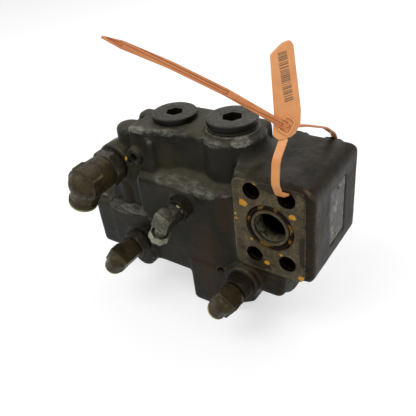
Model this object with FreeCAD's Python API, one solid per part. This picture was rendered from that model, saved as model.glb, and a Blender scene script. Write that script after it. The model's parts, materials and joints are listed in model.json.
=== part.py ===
import FreeCAD, Part
import math
import os
from dataclasses import dataclass

from FreeCAD import Vector

# Hose rupture valve for a hydraulic cylinder.
# Millimetres. The origin is the centre of the front flange port, on its machined face.
# -Y points out of that port, +X to the nameplate side, +Z up to the two bore plugs.

# Flange, high-pressure split-flange pattern for a one-inch port
PORT_D = 25.4
BOLT_DX = 27.76
BOLT_DZ = 57.15
BOLT_HOLE_D = 13.5
GROOVE_ID = 31.0
GROOVE_OD = 39.0
GROOVE_DEPTH = 3.5
RING_GAP = 0.15

# Flange block
BLOCK_LEFT = -30.0
BLOCK_RIGHT = 34.0
BLOCK_BOTTOM = -43.0
BLOCK_TOP = 40.0
BLOCK_DEPTH = 84.0
BOLT_SEAT_Y = BLOCK_DEPTH - 4.0
BOLT_SEAT_R = 10.3
HOSE_SEAT_Y = BLOCK_DEPTH - 1.5
HOSE_SEAT_R = 21.0
HOSE_THREAD_R = 15.9
HOSE_THREAD_LENGTH = 22.0
PAD_PROUD = 1.6
PAD_MARGIN_TOP = 3.0
PAD_MARGIN_RIGHT = 6.5
PAD_CORNER = 6.0
EDGE_REAR_TOP = 13.0
EDGE_RIGHT_TOP = 11.0
EDGE_FRONT_RIGHT = 5.0
EDGE_BLOCK = 3.5
EDGE_BOTTOM_RIGHT = 5.5
EDGE_LEFT = 3.0

# Main casting
DECK_Z = 56.0
UPPER_FRONT_Y = 13.5
UPPER_REAR_Y = 62.0
UPPER_RIGHT_X = -26.0
UPPER_LEFT_X = -140.0
LOWER_FRONT_Y = -3.0
LOWER_REAR_Y = 78.0
LEDGE_Z = 24.0
REAR_STEP_Z = 12.0
BODY_BOTTOM_Z = -70.0
SHELF_LEFT_X = -158.0
SHELF_RIGHT_X = -112.0
SHELF_FRONT_Y = -5.0
SHELF_TOP_Z = -20.0
CAST_ROUND = 6.0
CAST_EDGE = 3.0
LEDGE_DROP = 9.0
SLOPE_LEFT_X = -51.0
SLOPE_RIGHT_X = -33.0

# Raised rear left corner of the deck
HORN_RIGHT_X = -110.0
HORN_FRONT_Y = 27.5
HORN_REAR_Y = 43.0
HORN_Z = 56.5
HORN_ROUND = 5.0

# Wall behind the small tapped boss, and web under the large port's boss
WALL_LEFT_X = -128.0
WALL_RIGHT_X = -104.0
WALL_FRONT_Y = 3.5
WALL_BOTTOM_Z = 2.0
WEB_FRONT_Y = 0.5
WEB_CORNER_Z = 3.0
WEB_LEAN_Z = -9.0

# Flare that blends the main boss into the flange block
FLARE_WIDTH = 8.0
FLARE_RISE = 10.0
FLARE_STEPS = [(0.68, 0.07), (0.4, 0.22), (0.18, 0.48), (0.06, 0.75)]

# Foot under the flange pad
FOOT_LEFT_X = -22.0
FOOT_RIGHT_X = 8.0
FOOT_FRONT_Y = 2.0
FOOT_REAR_Y = 52.0
FOOT_BOTTOM_Z = -71.5
FOOT_ROUND = 6.0

# Lower chamber that hangs under the casting
SUMP_LEFT_X = -78.0
SUMP_FLAT_X = -52.0
SUMP_RIGHT_X = -14.0
SUMP_BOTTOM_Z = -101.0
SUMP_RIGHT_Z = -78.0
SUMP_REAR_Y = 56.0

# Main poppet bore, under the right-hand plug
MAIN_X = -47.0
STAGE_Y = 34.5
MAIN_BORE_R = 14.0
MAIN_BOSS_R = 25.5
MAIN_LAND_Z = 58.5
MAIN_LAND_R = 21.5
MAIN_SHOULDER_Z = -16.0
MAIN_THROAT_R = 9.0
MAIN_THREAD_R = 16.5
MAIN_COLLAR_R = 20.0
MAIN_COLLAR_H = 7.5
MAIN_SOCKET_AF = 14.0

# Relief bore, under the left-hand plug
RELIEF_X = -101.6
RELIEF_BORE_R = 12.0
RELIEF_BOSS_R = 25.5
RELIEF_SHOULDER_Z = -14.0
RELIEF_THROAT_R = 5.5
RELIEF_THREAD_R = 15.0
RELIEF_COLLAR_R = 18.5
RELIEF_COLLAR_H = 5.2
RELIEF_SOCKET_AF = 12.5
THREAD_LENGTH = 15.0
STAGE_GROOVE = 2.6
SOCKET_DEPTH = 9.0
PLUG_SEAL_R = 1.15
STAGE_GROOVE_DEPTH = 2.4

# Pilot spool bore, along X in the lower casting
SPOOL_Y = 28.0
SPOOL_Z = -55.0
SPOOL_BORE_R = 8.0
SPOOL_HOUSING_R = 23.0
SPOOL_RIGHT_X = 8.5
SPOOL_THREAD_R = 8.6
SPOOL_THREAD_LENGTH = 16.0
SPOOL_COLLAR_R = 11.0
SPOOL_COLLAR_H = 5.0
SPOOL_SOCKET_AF = 8.0
SPOOL_SOCKET_DEPTH = 7.0
SPOOL_GROOVE = 2.2
SPOOL_GROOVE_DEPTH = 2.0

# Ports for the fittings


@dataclass
class Port:
    """Tapped port: its place on the front, its boss, and the fitting's stud and bore."""

    x: float
    z: float
    face_y: float
    boss_r: float
    stud_r: float
    bore_r: float


BIG_PORT = Port(x=SHELF_LEFT_X + 12.0, z=21.0, face_y=-1.0, boss_r=17.5, stud_r=11.1, bore_r=7.0)
MID_PORT = Port(x=-75.0, z=1.5, face_y=-4.2, boss_r=13.0, stud_r=7.1, bore_r=3.5)
PILOT_PORT = Port(x=SHELF_LEFT_X + 29.5, z=-50.5, face_y=-6.5, boss_r=15.0, stud_r=8.0, bore_r=5.0)
DRAIN_PORT = Port(x=BLOCK_LEFT + 4.5, z=-60.5, face_y=-4.8, boss_r=15.0, stud_r=8.0, bore_r=5.0)
PORTS = (BIG_PORT, MID_PORT, PILOT_PORT, DRAIN_PORT)
PORT_DEPTH = 12.0
PORT_CHAMFER = 2.6
PORT_CHAMFER_DEPTH = 2.2
TAIL_BOSS_R = 17.0
TAIL_BOSS_REAR_Y = 46.0

# Gauge port, a small tapped hole beside the large fitting
GAUGE_X = -122.3
GAUGE_Z = 32.3
GAUGE_FACE_Y = -0.6
GAUGE_BOSS_R = 7.5
GAUGE_R = 3.4
GAUGE_DEPTH = 12.0

# Blanking screw in the front wall
BLANK_X = -45.5
BLANK_Z = -56.5
BLANK_R = 3.5
BLANK_DEPTH = 15.0
BLANK_SUNK = 2.4
BLANK_LENGTH = 7.8
BLANK_SOCKET_AF = 3.0

# Small cast details at the left end
COLUMN_X = BIG_PORT.x + 8.5
COLUMN_Y = 17.0
COLUMN_R = 11.0
COLUMN_ROUND = 4.0
LUG_X = PILOT_PORT.x - 0.5
LUG_Z = -66.5
LUG_R = 13.0
LUG_PROUD = 1.5

# Flow passages and drillings
FLOW_R = 8.0
INLET_DEPTH = 36.0
INLET_Y = 26.0
INLET_Z = 2.0
OUTLET_DEPTH = 33.0
OUTLET_Y = 62.0
CHAMBER_Z = -30.0
CROSS_R = 5.0
TANK_Y = 32.0
CHECK_SEAT_Y = 26.0
CHECK_SEAT_R = 2.5
CHECK_CHAMBER_R = 5.0
CHECK_DRILL_R = 3.0
PILOT_DRILL_R = 1.75
MAIN_DRILL_X = -64.5
MAIN_DRILL_Z = 38.0
RELIEF_DRILL_X = -86.0
RELIEF_DRILL_Y = 26.0
RELIEF_DRILL_Z = 25.0

# Clearances
FIT = 0.05
RUN = 0.04
THREAD_GAP = 0.1
SEAL_GAP = 0.1

# End cover on the left
COVER_THICK = 20.0
GASKET_THICK = 0.8
COVER_REAR_Y = 58.0
COVER_ROUND = 5.0
COVER_PAD_PROUD = 2.0
COVER_PAD_Z0 = -55.5
COVER_PAD_Z1 = -34.5
COVER_SCREW_R = 3.0
COVER_SCREW_HEAD_R = 5.0
COVER_SCREW_HEAD_H = 6.0
COVER_SCREW_AF = 5.0
COVER_SCREW_INSET = 9.5
COVER_SCREW_REACH = 12.0

# Nameplate on the right face of the block
PLATE_Y0 = 31.0
PLATE_Y1 = 59.0
PLATE_Z0 = -28.0
PLATE_Z1 = 22.0
PLATE_RECESS = 1.4
PLATE_THICK = 0.8
RIVET_R = 1.5

# Moving stages
STOP_GAP = 1.0
SEAT_CLEAR = 0.1
SEAT_CONE = 2.0
MAIN_LIFT = 8.0
MAIN_SEAT_H = 7.0
MAIN_STEM_GAP = 2.1
MAIN_GUIDE = 21.5
MAIN_FLOOR = 17.0
ORIFICE_R = 0.8
MAIN_WALL = 4.5
MAIN_SPRING_R = 7.2
MAIN_SPRING_WIRE = 0.8
MAIN_SPRING_TURNS = 7
RELIEF_LIFT = 4.0
RELIEF_SEAT_H = 6.0
RELIEF_STEM_GAP = 4.1
RELIEF_GUIDE = 24.8
RELIEF_FLOOR = 28.0
RELIEF_WALL = 3.8
RELIEF_SPRING_R = 5.8
RELIEF_SPRING_WIRE = 1.1
RELIEF_SPRING_TURNS = 5
SHIM_THICK = 3.0
SHIM_R = 10.5
SPOOL_TRAVEL = 6.0
SPOOL_WAIST_R = 4.6
PISTON_LEFT_X = PILOT_PORT.x + 1.5
PISTON_LENGTH = 14.0
SPOOL_RIGHT_END_X = -52.0
CUP_R = 7.4
CUP_THICK = 2.0
CUP_PIN_R = 3.4
PILOT_SPRING_R = 5.6
PILOT_SPRING_WIRE = 0.8
PILOT_SPRING_TURNS = 8
BALL_R = 3.6
CHECK_SPRING_WIRE = 0.3
FACE_GAP = 0.3

# Seal tag looped through one bolt hole
TAG_X = BOLT_DX / 2
STRAP_WIDTH = 5.8
STRAP_THICK = 1.5
TAIL_HALF = 2.3
TAIL_TIP = (-62.0, -64.0, 153.0)
TAIL_TIP_HALF = 0.7
LOCK_Y = 0.6
LOCK_Z = 84.3
SEAT_GAP = 0.35
LOCK_GAP = 0.3
TAIL_BOW = 4.0
MOUTH_Z = (BOLT_DZ + BOLT_HOLE_D - STRAP_THICK) / 2 - 0.2
FLAG_TILT = 17.0
FLAG_TURN = 37.5
FLAG_THICK = 1.4

X_AXIS = Vector(1, 0, 0)
Y_AXIS = Vector(0, 1, 0)
Z_AXIS = Vector(0, 0, 1)


def box(x0, x1, y0, y1, z0, z1):
    """Box between two corners."""
    return Part.makeBox(x1 - x0, y1 - y0, z1 - z0, Vector(x0, y0, z0))


def rod(start, end, radius):
    """Cylinder between two points."""
    start = Vector(*start)
    end = Vector(*end)
    return Part.makeCylinder(radius, (end - start).Length, start, end - start)


def passage(points, radius):
    """Cored or drilled passage through a list of points, with ball corners."""
    pieces = [rod(a, b, radius) for a, b in zip(points, points[1:])]
    pieces += [Part.makeSphere(radius, Vector(*p)) for p in points[1:-1]]
    return pieces[0].multiFuse(pieces[1:]) if len(pieces) > 1 else pieces[0]


def rounded_wire(points, radii):
    """Closed wire through points, with an arc of the given radius at each corner."""
    points = [Vector(*p) for p in points]
    count = len(points)
    edges = []
    joints = []
    for i in range(count):
        corner = points[i]
        before = (points[i - 1] - corner).normalize()
        after = (points[(i + 1) % count] - corner).normalize()
        radius = radii[i]
        if radius <= 0:
            joints.append((corner, None, corner))
            continue
        half = before.getAngle(after) / 2
        reach = radius / math.tan(half)
        bisector = (before + after).normalize()
        middle = corner + bisector * (radius / math.sin(half) - radius)
        joints.append((corner + before * reach, middle, corner + after * reach))
    for i in range(count):
        first, middle, last = joints[i]
        if middle is not None:
            edges.append(Part.Arc(first, middle, last).toShape())
        following = joints[(i + 1) % count][0]
        if (following - last).Length > 1e-6:
            edges.append(Part.LineSegment(last, following).toShape())
    return Part.Wire(edges)


def prism(points, radii, direction):
    """Solid made by pushing a rounded outline along a direction."""
    return Part.Face(rounded_wire(points, radii)).extrude(Vector(*direction))


def turned(profile, base, axis):
    """Solid of revolution from (radius, height) pairs, set on a base point along an axis."""
    points = [Vector(r, 0, h) for r, h in profile]
    wire = Part.makePolygon(points + [points[0]])
    solid = Part.Face(wire).revolve(Vector(0, 0, 0), Z_AXIS, 360)
    solid.Placement = FreeCAD.Placement(Vector(*base), FreeCAD.Rotation(Z_AXIS, axis))
    return solid


def soften(solid, radius, keep):
    """Round the edges that the test keeps."""
    edges = [e for e in solid.Edges if keep(e)]
    return solid.makeFillet(radius, edges)


def soft_box(x0, x1, y0, y1, z0, z1, radius):
    """Box with all edges rounded alike."""
    solid = box(x0, x1, y0, y1, z0, z1)
    return solid.makeFillet(radius, solid.Edges)


def hexagon(af, height, base, axis):
    """Hexagonal prism across flats af, from a base point along an axis."""
    corner = af / math.sqrt(3)
    points = [Vector(corner * math.cos(math.radians(60 * i)), corner * math.sin(math.radians(60 * i)), 0)
              for i in range(6)]
    solid = Part.Face(Part.makePolygon(points + [points[0]])).extrude(Vector(0, 0, height))
    solid.Placement = FreeCAD.Placement(Vector(*base), FreeCAD.Rotation(Z_AXIS, axis))
    return solid


def ring(base, axis, inner, outer, height):
    """Flat ring from a base point along an axis."""
    return turned([(inner, 0), (outer, 0), (outer, height), (inner, height)], base, axis)


def o_ring(base, axis, mean_r, section_r):
    """Round-section seal, lying square to an axis."""
    solid = Part.makeTorus(mean_r, section_r)
    solid.Placement = FreeCAD.Placement(Vector(*base), FreeCAD.Rotation(Z_AXIS, axis))
    return solid


def coil_spring(base, axis, mean_r, wire_r, length, turns):
    """Compression spring of round wire, from a base point along an axis."""
    height = length - 2 * wire_r
    helix = Part.makeHelix(height / turns, height, mean_r)
    start = Part.Circle(Vector(mean_r, 0, 0), Vector(0, 1, 0), wire_r).toShape()
    solid = Part.Wire(helix.Edges).makePipeShell([Part.Wire([start])], True, True)
    solid.translate(Vector(0, 0, wire_r))
    placed = solid.copy()
    turn = FreeCAD.Placement(Vector(*base), FreeCAD.Rotation(Z_AXIS, axis))
    placed.Placement = turn.multiply(solid.Placement)
    return placed


def group(solids):
    """Several separate solids in one node."""
    return Part.makeCompound(solids)


# Casting

def flange_block():
    """Block that carries the two flange ports, with its raised machined pad."""
    front = PAD_PROUD
    body = prism([(BLOCK_LEFT, front, BLOCK_BOTTOM), (BLOCK_RIGHT, front, BLOCK_BOTTOM),
                  (BLOCK_RIGHT, front, BLOCK_TOP), (BLOCK_LEFT, front, BLOCK_TOP)],
                 [EDGE_BLOCK, EDGE_BOTTOM_RIGHT, EDGE_RIGHT_TOP, EDGE_BLOCK], (0, BLOCK_DEPTH - front, 0))
    side = prism([(BLOCK_LEFT, front, BLOCK_BOTTOM), (BLOCK_LEFT, front, BLOCK_TOP),
                  (BLOCK_LEFT, BLOCK_DEPTH, BLOCK_TOP), (BLOCK_LEFT, BLOCK_DEPTH, BLOCK_BOTTOM)],
                 [EDGE_LEFT, EDGE_LEFT, EDGE_REAR_TOP, EDGE_BLOCK], (BLOCK_RIGHT - BLOCK_LEFT, 0, 0))
    plan = prism([(BLOCK_LEFT, front, BLOCK_BOTTOM), (BLOCK_RIGHT, front, BLOCK_BOTTOM),
                  (BLOCK_RIGHT, BLOCK_DEPTH, BLOCK_BOTTOM), (BLOCK_LEFT, BLOCK_DEPTH, BLOCK_BOTTOM)],
                 [0, EDGE_FRONT_RIGHT, EDGE_BLOCK, 0], (0, 0, BLOCK_TOP - BLOCK_BOTTOM))
    block = body.common(side).common(plan)
    pad_right = BLOCK_RIGHT - PAD_MARGIN_RIGHT
    pad_top = BLOCK_TOP - PAD_MARGIN_TOP
    pad = prism([(BLOCK_LEFT, 0, BLOCK_BOTTOM), (pad_right, 0, BLOCK_BOTTOM),
                 (pad_right, 0, pad_top), (BLOCK_LEFT, 0, pad_top)],
                [PAD_CORNER] * 4, (0, 3 * PAD_PROUD, 0))
    return block.fuse(pad)


def lower_casting():
    """Lower body between the block and the left end, with a sloping ledge along its front top edge."""
    right = BLOCK_LEFT + CAST_EDGE
    left = SHELF_RIGHT_X - 10
    profile = [(left, LOWER_REAR_Y, BODY_BOTTOM_Z), (left, LOWER_FRONT_Y, BODY_BOTTOM_Z),
               (left, LOWER_FRONT_Y, LEDGE_Z - LEDGE_DROP), (left, UPPER_FRONT_Y, LEDGE_Z),
               (left, UPPER_REAR_Y, LEDGE_Z), (left, UPPER_REAR_Y, REAR_STEP_Z),
               (left, LOWER_REAR_Y, REAR_STEP_Z)]
    radii = [CAST_ROUND, CAST_EDGE, CAST_ROUND, 0, 0, CAST_ROUND, CAST_ROUND]
    body = prism(profile, radii, (right - left, 0, 0))
    height = LEDGE_Z - BODY_BOTTOM_Z + 2
    base = BODY_BOTTOM_Z - 1
    slope = prism([(SLOPE_LEFT_X, LOWER_FRONT_Y, base), (SLOPE_RIGHT_X, PAD_PROUD, base),
                   (right + 1, PAD_PROUD, base), (right + 1, LOWER_FRONT_Y - 1, base),
                   (SLOPE_LEFT_X, LOWER_FRONT_Y - 1, base)], [0] * 5, (0, 0, height))
    return body.cut(slope)


def upper_casting():
    """Tall rear part that carries the two plugs."""
    base = LEDGE_Z - LEDGE_DROP
    plan = prism([(UPPER_RIGHT_X, UPPER_FRONT_Y, base), (UPPER_RIGHT_X, UPPER_REAR_Y, base),
                  (SHELF_RIGHT_X - 10, UPPER_REAR_Y, base), (SHELF_RIGHT_X - 10, UPPER_FRONT_Y, base)],
                 [2 * CAST_ROUND, CAST_ROUND, 0, 0], (0, 0, DECK_Z - base))
    return soften(plan, CAST_ROUND, lambda e: e.CenterOfMass.z > DECK_Z - 0.1)


def upper_left_casting():
    """Left end of the tall part, behind the large fitting, with its raised rear corner."""
    upper = soft_box(UPPER_LEFT_X, SHELF_RIGHT_X + 5, UPPER_FRONT_Y + 1, UPPER_REAR_Y - 2,
                     SHELF_TOP_Z - 2 * CAST_ROUND, DECK_Z - CAST_ROUND, CAST_ROUND)
    column = rod((COLUMN_X, COLUMN_Y, SHELF_TOP_Z), (COLUMN_X, COLUMN_Y, DECK_Z - COLUMN_ROUND), COLUMN_R)
    column = soften(column, COLUMN_ROUND, lambda e: e.CenterOfMass.z > DECK_Z - COLUMN_ROUND - 1)
    horn = soft_box(UPPER_LEFT_X + 2, HORN_RIGHT_X, HORN_FRONT_Y, HORN_REAR_Y, REAR_STEP_Z, HORN_Z,
                    HORN_ROUND)
    return upper.multiFuse([column, horn])


def front_wall():
    """Wall that carries the small tapped boss, in front of the column."""
    return soft_box(WALL_LEFT_X, WALL_RIGHT_X, WALL_FRONT_Y, UPPER_FRONT_Y + 3 * CAST_ROUND, WALL_BOTTOM_Z,
                    DECK_Z - CAST_ROUND, CAST_ROUND - 1)


def boss_web():
    """Web between the large port's boss and the lower left end."""
    y = WEB_FRONT_Y
    right = WALL_LEFT_X - CAST_EDGE
    outline = [(SHELF_LEFT_X, y, SHELF_TOP_Z - 2), (SHELF_LEFT_X, y, BIG_PORT.z), (right, y, BIG_PORT.z),
               (right, y, WEB_CORNER_Z), (BIG_PORT.x, y, WEB_LEAN_Z), (SHELF_LEFT_X + CAST_EDGE, y, SHELF_TOP_Z - 2)]
    return prism(outline, [0, 0, 0, 4, 2 * CAST_ROUND, 0], (0, TAIL_BOSS_REAR_Y - CAST_ROUND - y, 0))


def boss_flare():
    """Flare at the foot of the main boss, above the flange block only."""
    foot_r = MAIN_BOSS_R + FLARE_WIDTH
    top = BLOCK_TOP + FLARE_RISE
    profile = [(0, BLOCK_TOP - 2), (foot_r, BLOCK_TOP - 2), (foot_r, BLOCK_TOP)]
    for out, up in FLARE_STEPS:
        profile.append((MAIN_BOSS_R + out * FLARE_WIDTH, BLOCK_TOP + up * FLARE_RISE))
    profile += [(MAIN_BOSS_R - 0.5, top), (0, top)]
    flare = turned(profile, (MAIN_X, STAGE_Y, 0), Z_AXIS)
    return flare.common(box(BLOCK_LEFT - 1, BLOCK_RIGHT, 0, BLOCK_DEPTH, BLOCK_TOP - 2, DECK_Z))


def foot_casting():
    """Foot that hangs under the flange pad."""
    return soft_box(FOOT_LEFT_X, FOOT_RIGHT_X, FOOT_FRONT_Y, FOOT_REAR_Y, FOOT_BOTTOM_Z,
                    BLOCK_BOTTOM + FOOT_ROUND + 2, FOOT_ROUND)


def stage_boss(x, radius, top):
    """Round boss that carries one of the two large plugs."""
    boss = rod((x, STAGE_Y, SHELF_TOP_Z), (x, STAGE_Y, top), radius)
    return soften(boss, 4, lambda e: len(e.Vertexes) == 1 and e.CenterOfMass.z > top - 0.1)


def shelf_casting():
    """Lower left end, which the end cover closes."""
    solid = box(SHELF_LEFT_X, SHELF_RIGHT_X, SHELF_FRONT_Y, COVER_REAR_Y, BODY_BOTTOM_Z, SHELF_TOP_Z)
    along_x = [e for e in solid.Edges if abs(e.tangentAt(e.FirstParameter).x) > 0.9]
    return solid.makeFillet(COVER_ROUND, along_x)


def sump_casting():
    """Chamber that hangs below the body, with its right side sloping up to the drain port."""
    depth = SUMP_REAR_Y - SHELF_FRONT_Y - 1
    front = SHELF_FRONT_Y + 1
    top = BODY_BOTTOM_Z + 16
    sump = prism([(SUMP_LEFT_X, front, top), (SUMP_LEFT_X, front, SUMP_BOTTOM_Z),
                  (SUMP_FLAT_X, front, SUMP_BOTTOM_Z), (SUMP_RIGHT_X, front, SUMP_RIGHT_Z),
                  (SUMP_RIGHT_X, front, top)], [0, 4, 6, 6, 0], (0, depth, 0))
    lowest = [e for e in sump.Edges if e.CenterOfMass.z < SUMP_BOTTOM_Z + 0.5 and e.Length > 20
              and abs(e.tangentAt(e.FirstParameter).x) > 0.9]
    return sump.makeFillet(3, lowest)


def spool_housing():
    """Round housing of the pilot spool, from the end cover to the right-hand plug."""
    housing = rod((SHELF_LEFT_X + 6, SPOOL_Y, SPOOL_Z), (SPOOL_RIGHT_X, SPOOL_Y, SPOOL_Z), SPOOL_HOUSING_R)
    return soften(housing, 3, lambda e: len(e.Vertexes) == 1 and e.CenterOfMass.x > SPOOL_RIGHT_X - 0.1)


def port_boss(port):
    """Spot-faced boss for one fitting."""
    boss = rod((port.x, port.face_y, port.z), (port.x, port.face_y + PORT_DEPTH + 4, port.z), port.boss_r)
    return soften(boss, 1.5, lambda e: len(e.Vertexes) == 1 and e.CenterOfMass.y < port.face_y + 0.1)


def tail_boss():
    """Rear length of the large port's boss, round its passage."""
    start = (BIG_PORT.x, BIG_PORT.face_y + PORT_DEPTH, BIG_PORT.z)
    boss = rod(start, (BIG_PORT.x, TAIL_BOSS_REAR_Y, BIG_PORT.z), TAIL_BOSS_R)
    return soften(boss, CAST_ROUND, lambda e: e.CenterOfMass.y > TAIL_BOSS_REAR_Y - 0.1)


def casting_solid():
    """Outside of the casting, before any machining."""
    parts = [lower_casting(), upper_casting(), upper_left_casting(), foot_casting(), tail_boss(),
             front_wall(), boss_web(), boss_flare(),
             stage_boss(MAIN_X, MAIN_BOSS_R, DECK_Z), stage_boss(RELIEF_X, RELIEF_BOSS_R, DECK_Z),
             shelf_casting(), sump_casting(), spool_housing(),
             rod((MAIN_X, STAGE_Y, DECK_Z - 5), (MAIN_X, STAGE_Y, MAIN_LAND_Z), MAIN_LAND_R)]
    parts += [port_boss(port) for port in PORTS]
    parts.append(rod((GAUGE_X, GAUGE_FACE_Y, GAUGE_Z), (GAUGE_X, UPPER_FRONT_Y + 10, GAUGE_Z), GAUGE_BOSS_R))
    parts.append(rod((LUG_X, SHELF_FRONT_Y - LUG_PROUD, LUG_Z), (LUG_X, SPOOL_Y - LUG_R, LUG_Z), LUG_R))
    return flange_block().multiFuse(parts)


def stage_bore(x, bore_r, thread_r, land_z, shoulder_z, throat_r):
    """Vertical bore of one stage: thread, seal groove, poppet bore and throat down to the chamber."""
    thread_end = land_z - THREAD_LENGTH - 2
    groove_r = thread_r + STAGE_GROOVE
    groove_z = land_z - STAGE_GROOVE_DEPTH
    profile = [(0, CHAMBER_Z), (throat_r, CHAMBER_Z), (throat_r, shoulder_z), (bore_r, shoulder_z),
               (bore_r, thread_end), (thread_r, thread_end), (thread_r, groove_z),
               (groove_r, groove_z), (groove_r, land_z + 5), (0, land_z + 5)]
    return turned(profile, (x, STAGE_Y, 0), Z_AXIS)


def port_hole(port):
    """Tapped port with a seal chamfer, on the face of its boss."""
    hole_r = port.stud_r + THREAD_GAP
    chamfer_r = hole_r + PORT_CHAMFER
    profile = [(0, -1), (chamfer_r, -1), (chamfer_r, PORT_CHAMFER_DEPTH), (hole_r, PORT_CHAMFER_DEPTH),
               (hole_r, PORT_DEPTH + 1), (port.bore_r, PORT_DEPTH + 1), (port.bore_r, PORT_DEPTH + 3),
               (0, PORT_DEPTH + 3)]
    return turned(profile, (port.x, port.face_y, port.z), Y_AXIS)


def flange_cuts():
    """Ports, seal groove and bolt holes of the flange block."""
    back = BLOCK_DEPTH + 1
    cuts = [rod((0, -1, 0), (0, INLET_DEPTH, 0), PORT_D / 2),
            rod((0, BLOCK_DEPTH - OUTLET_DEPTH, 0), (0, back, 0), PORT_D / 2),
            rod((0, HOSE_SEAT_Y, 0), (0, back, 0), HOSE_SEAT_R),
            rod((0, HOSE_SEAT_Y - HOSE_THREAD_LENGTH, 0), (0, back, 0), HOSE_THREAD_R),
            ring((0, -1, 0), Y_AXIS, GROOVE_ID / 2, GROOVE_OD / 2, GROOVE_DEPTH + 1)]
    for x in (-BOLT_DX / 2, BOLT_DX / 2):
        for z in (-BOLT_DZ / 2, BOLT_DZ / 2):
            cuts.append(rod((x, -1, z), (x, back, z), BOLT_HOLE_D / 2))
            cuts.append(rod((x, BOLT_SEAT_Y, z), (x, back, z), BOLT_SEAT_R))
    cuts.append(box(BLOCK_RIGHT - PLATE_RECESS, BLOCK_RIGHT + 1, PLATE_Y0, PLATE_Y1, PLATE_Z0, PLATE_Z1))
    return cuts


def flow_cuts():
    """Passages that join the two flange ports, the two stages and the large fitting."""
    inlet = rod((0, INLET_Y, INLET_Z), (MAIN_X, INLET_Y, INLET_Z), FLOW_R)
    outlet = passage([(0, OUTLET_Y, 0), (MAIN_X, OUTLET_Y, 0), (MAIN_X, OUTLET_Y, CHAMBER_Z),
                      (MAIN_X, STAGE_Y, CHAMBER_Z)], FLOW_R)
    cross = rod((MAIN_X, STAGE_Y, CHAMBER_Z), (RELIEF_X, STAGE_Y, CHAMBER_Z), CROSS_R)
    tank = rod((BIG_PORT.x, BIG_PORT.face_y + PORT_DEPTH, BIG_PORT.z), (BIG_PORT.x, TANK_Y, BIG_PORT.z),
               BIG_PORT.bore_r)
    slope = rod((BIG_PORT.x, TANK_Y - 2, BIG_PORT.z), (RELIEF_X, STAGE_Y, INLET_Z), CROSS_R)
    return [inlet, outlet, cross, tank, slope]


def check_cuts():
    """Chamber, seat and drilling of the check ball behind the middle fitting."""
    x = MID_PORT.x
    z = MID_PORT.z
    return [rod((x, MID_PORT.face_y + PORT_DEPTH, z), (x, CHECK_SEAT_Y, z), CHECK_CHAMBER_R),
            rod((x, CHECK_SEAT_Y - 2, z), (x, STAGE_Y + CHECK_DRILL_R, z), CHECK_SEAT_R),
            rod((x, STAGE_Y, z), (RELIEF_X, STAGE_Y, z), CHECK_DRILL_R)]


def spool_cuts():
    """Spool bore with its plug thread, and the drillings that it opens and closes."""
    bore_end = SPOOL_RIGHT_X - SPOOL_THREAD_LENGTH - 2
    groove_r = SPOOL_THREAD_R + SPOOL_GROOVE
    groove_x = SPOOL_RIGHT_X - SPOOL_GROOVE_DEPTH
    bore = turned([(0, SHELF_LEFT_X - 1), (SPOOL_BORE_R, SHELF_LEFT_X - 1), (SPOOL_BORE_R, bore_end),
                   (SPOOL_THREAD_R, bore_end), (SPOOL_THREAD_R, groove_x), (groove_r, groove_x),
                   (groove_r, SPOOL_RIGHT_X + 1), (0, SPOOL_RIGHT_X + 1)], (0, SPOOL_Y, SPOOL_Z), X_AXIS)
    main_drill = passage([(MAIN_DRILL_X, SPOOL_Y, SPOOL_Z), (MAIN_DRILL_X, SPOOL_Y, MAIN_DRILL_Z),
                          (MAIN_X, SPOOL_Y, MAIN_DRILL_Z)], PILOT_DRILL_R)
    relief_drill = passage([(RELIEF_DRILL_X, RELIEF_DRILL_Y, SPOOL_Z),
                            (RELIEF_DRILL_X, RELIEF_DRILL_Y, RELIEF_DRILL_Z),
                            (RELIEF_X, RELIEF_DRILL_Y, RELIEF_DRILL_Z)], PILOT_DRILL_R)
    feeds = [rod((port.x, port.face_y + PORT_DEPTH, port.z), (port.x, SPOOL_Y, port.z), port.bore_r)
             for port in (PILOT_PORT, DRAIN_PORT)]
    return [bore, main_drill, relief_drill] + feeds


def small_holes():
    """Gauge port, blanked drilling and cover screw holes."""
    gauge_floor = (GAUGE_X, GAUGE_FACE_Y + GAUGE_DEPTH, GAUGE_Z)
    blank_floor = (BLANK_X, LOWER_FRONT_Y + BLANK_DEPTH, BLANK_Z)
    cuts = [rod((GAUGE_X, GAUGE_FACE_Y - 1, GAUGE_Z), gauge_floor, GAUGE_R),
            rod((BLANK_X, LOWER_FRONT_Y - 1, BLANK_Z), blank_floor, BLANK_R)]
    for y, z in cover_screw_places():
        cuts.append(rod((SHELF_LEFT_X - 1, y, z), (SHELF_LEFT_X + COVER_SCREW_REACH + 2, y, z),
                        COVER_SCREW_R + THREAD_GAP))
    return cuts


def machining():
    """All holes, bores and passages of the casting."""
    stages = [stage_bore(MAIN_X, MAIN_BORE_R, MAIN_THREAD_R, MAIN_LAND_Z, MAIN_SHOULDER_Z, MAIN_THROAT_R),
              stage_bore(RELIEF_X, RELIEF_BORE_R, RELIEF_THREAD_R, DECK_Z, RELIEF_SHOULDER_Z,
                         RELIEF_THROAT_R)]
    ports = [port_hole(port) for port in PORTS]
    return flange_cuts() + stages + flow_cuts() + check_cuts() + spool_cuts() + small_holes() + ports


def valve_body():
    """The casting with all its machining."""
    return casting_solid().cut(machining())


# Plugs and their seals

def bore_plug(x, land_z, collar_r, collar_h, thread_r, socket_af):
    """Collared plug with a hexagon socket."""
    shank_r = thread_r - THREAD_GAP
    profile = [(0, -THREAD_LENGTH), (shank_r - 1.5, -THREAD_LENGTH), (shank_r, 1.5 - THREAD_LENGTH),
               (shank_r, 0), (collar_r - 1, 0), (collar_r, 1), (collar_r, collar_h - 1.6),
               (collar_r - 1.6, collar_h), (0, collar_h)]
    plug = turned(profile, (x, STAGE_Y, land_z), Z_AXIS)
    socket = hexagon(socket_af, SOCKET_DEPTH + 2, (x, STAGE_Y, land_z + collar_h - SOCKET_DEPTH), Z_AXIS)
    return plug.cut(socket)


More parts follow.
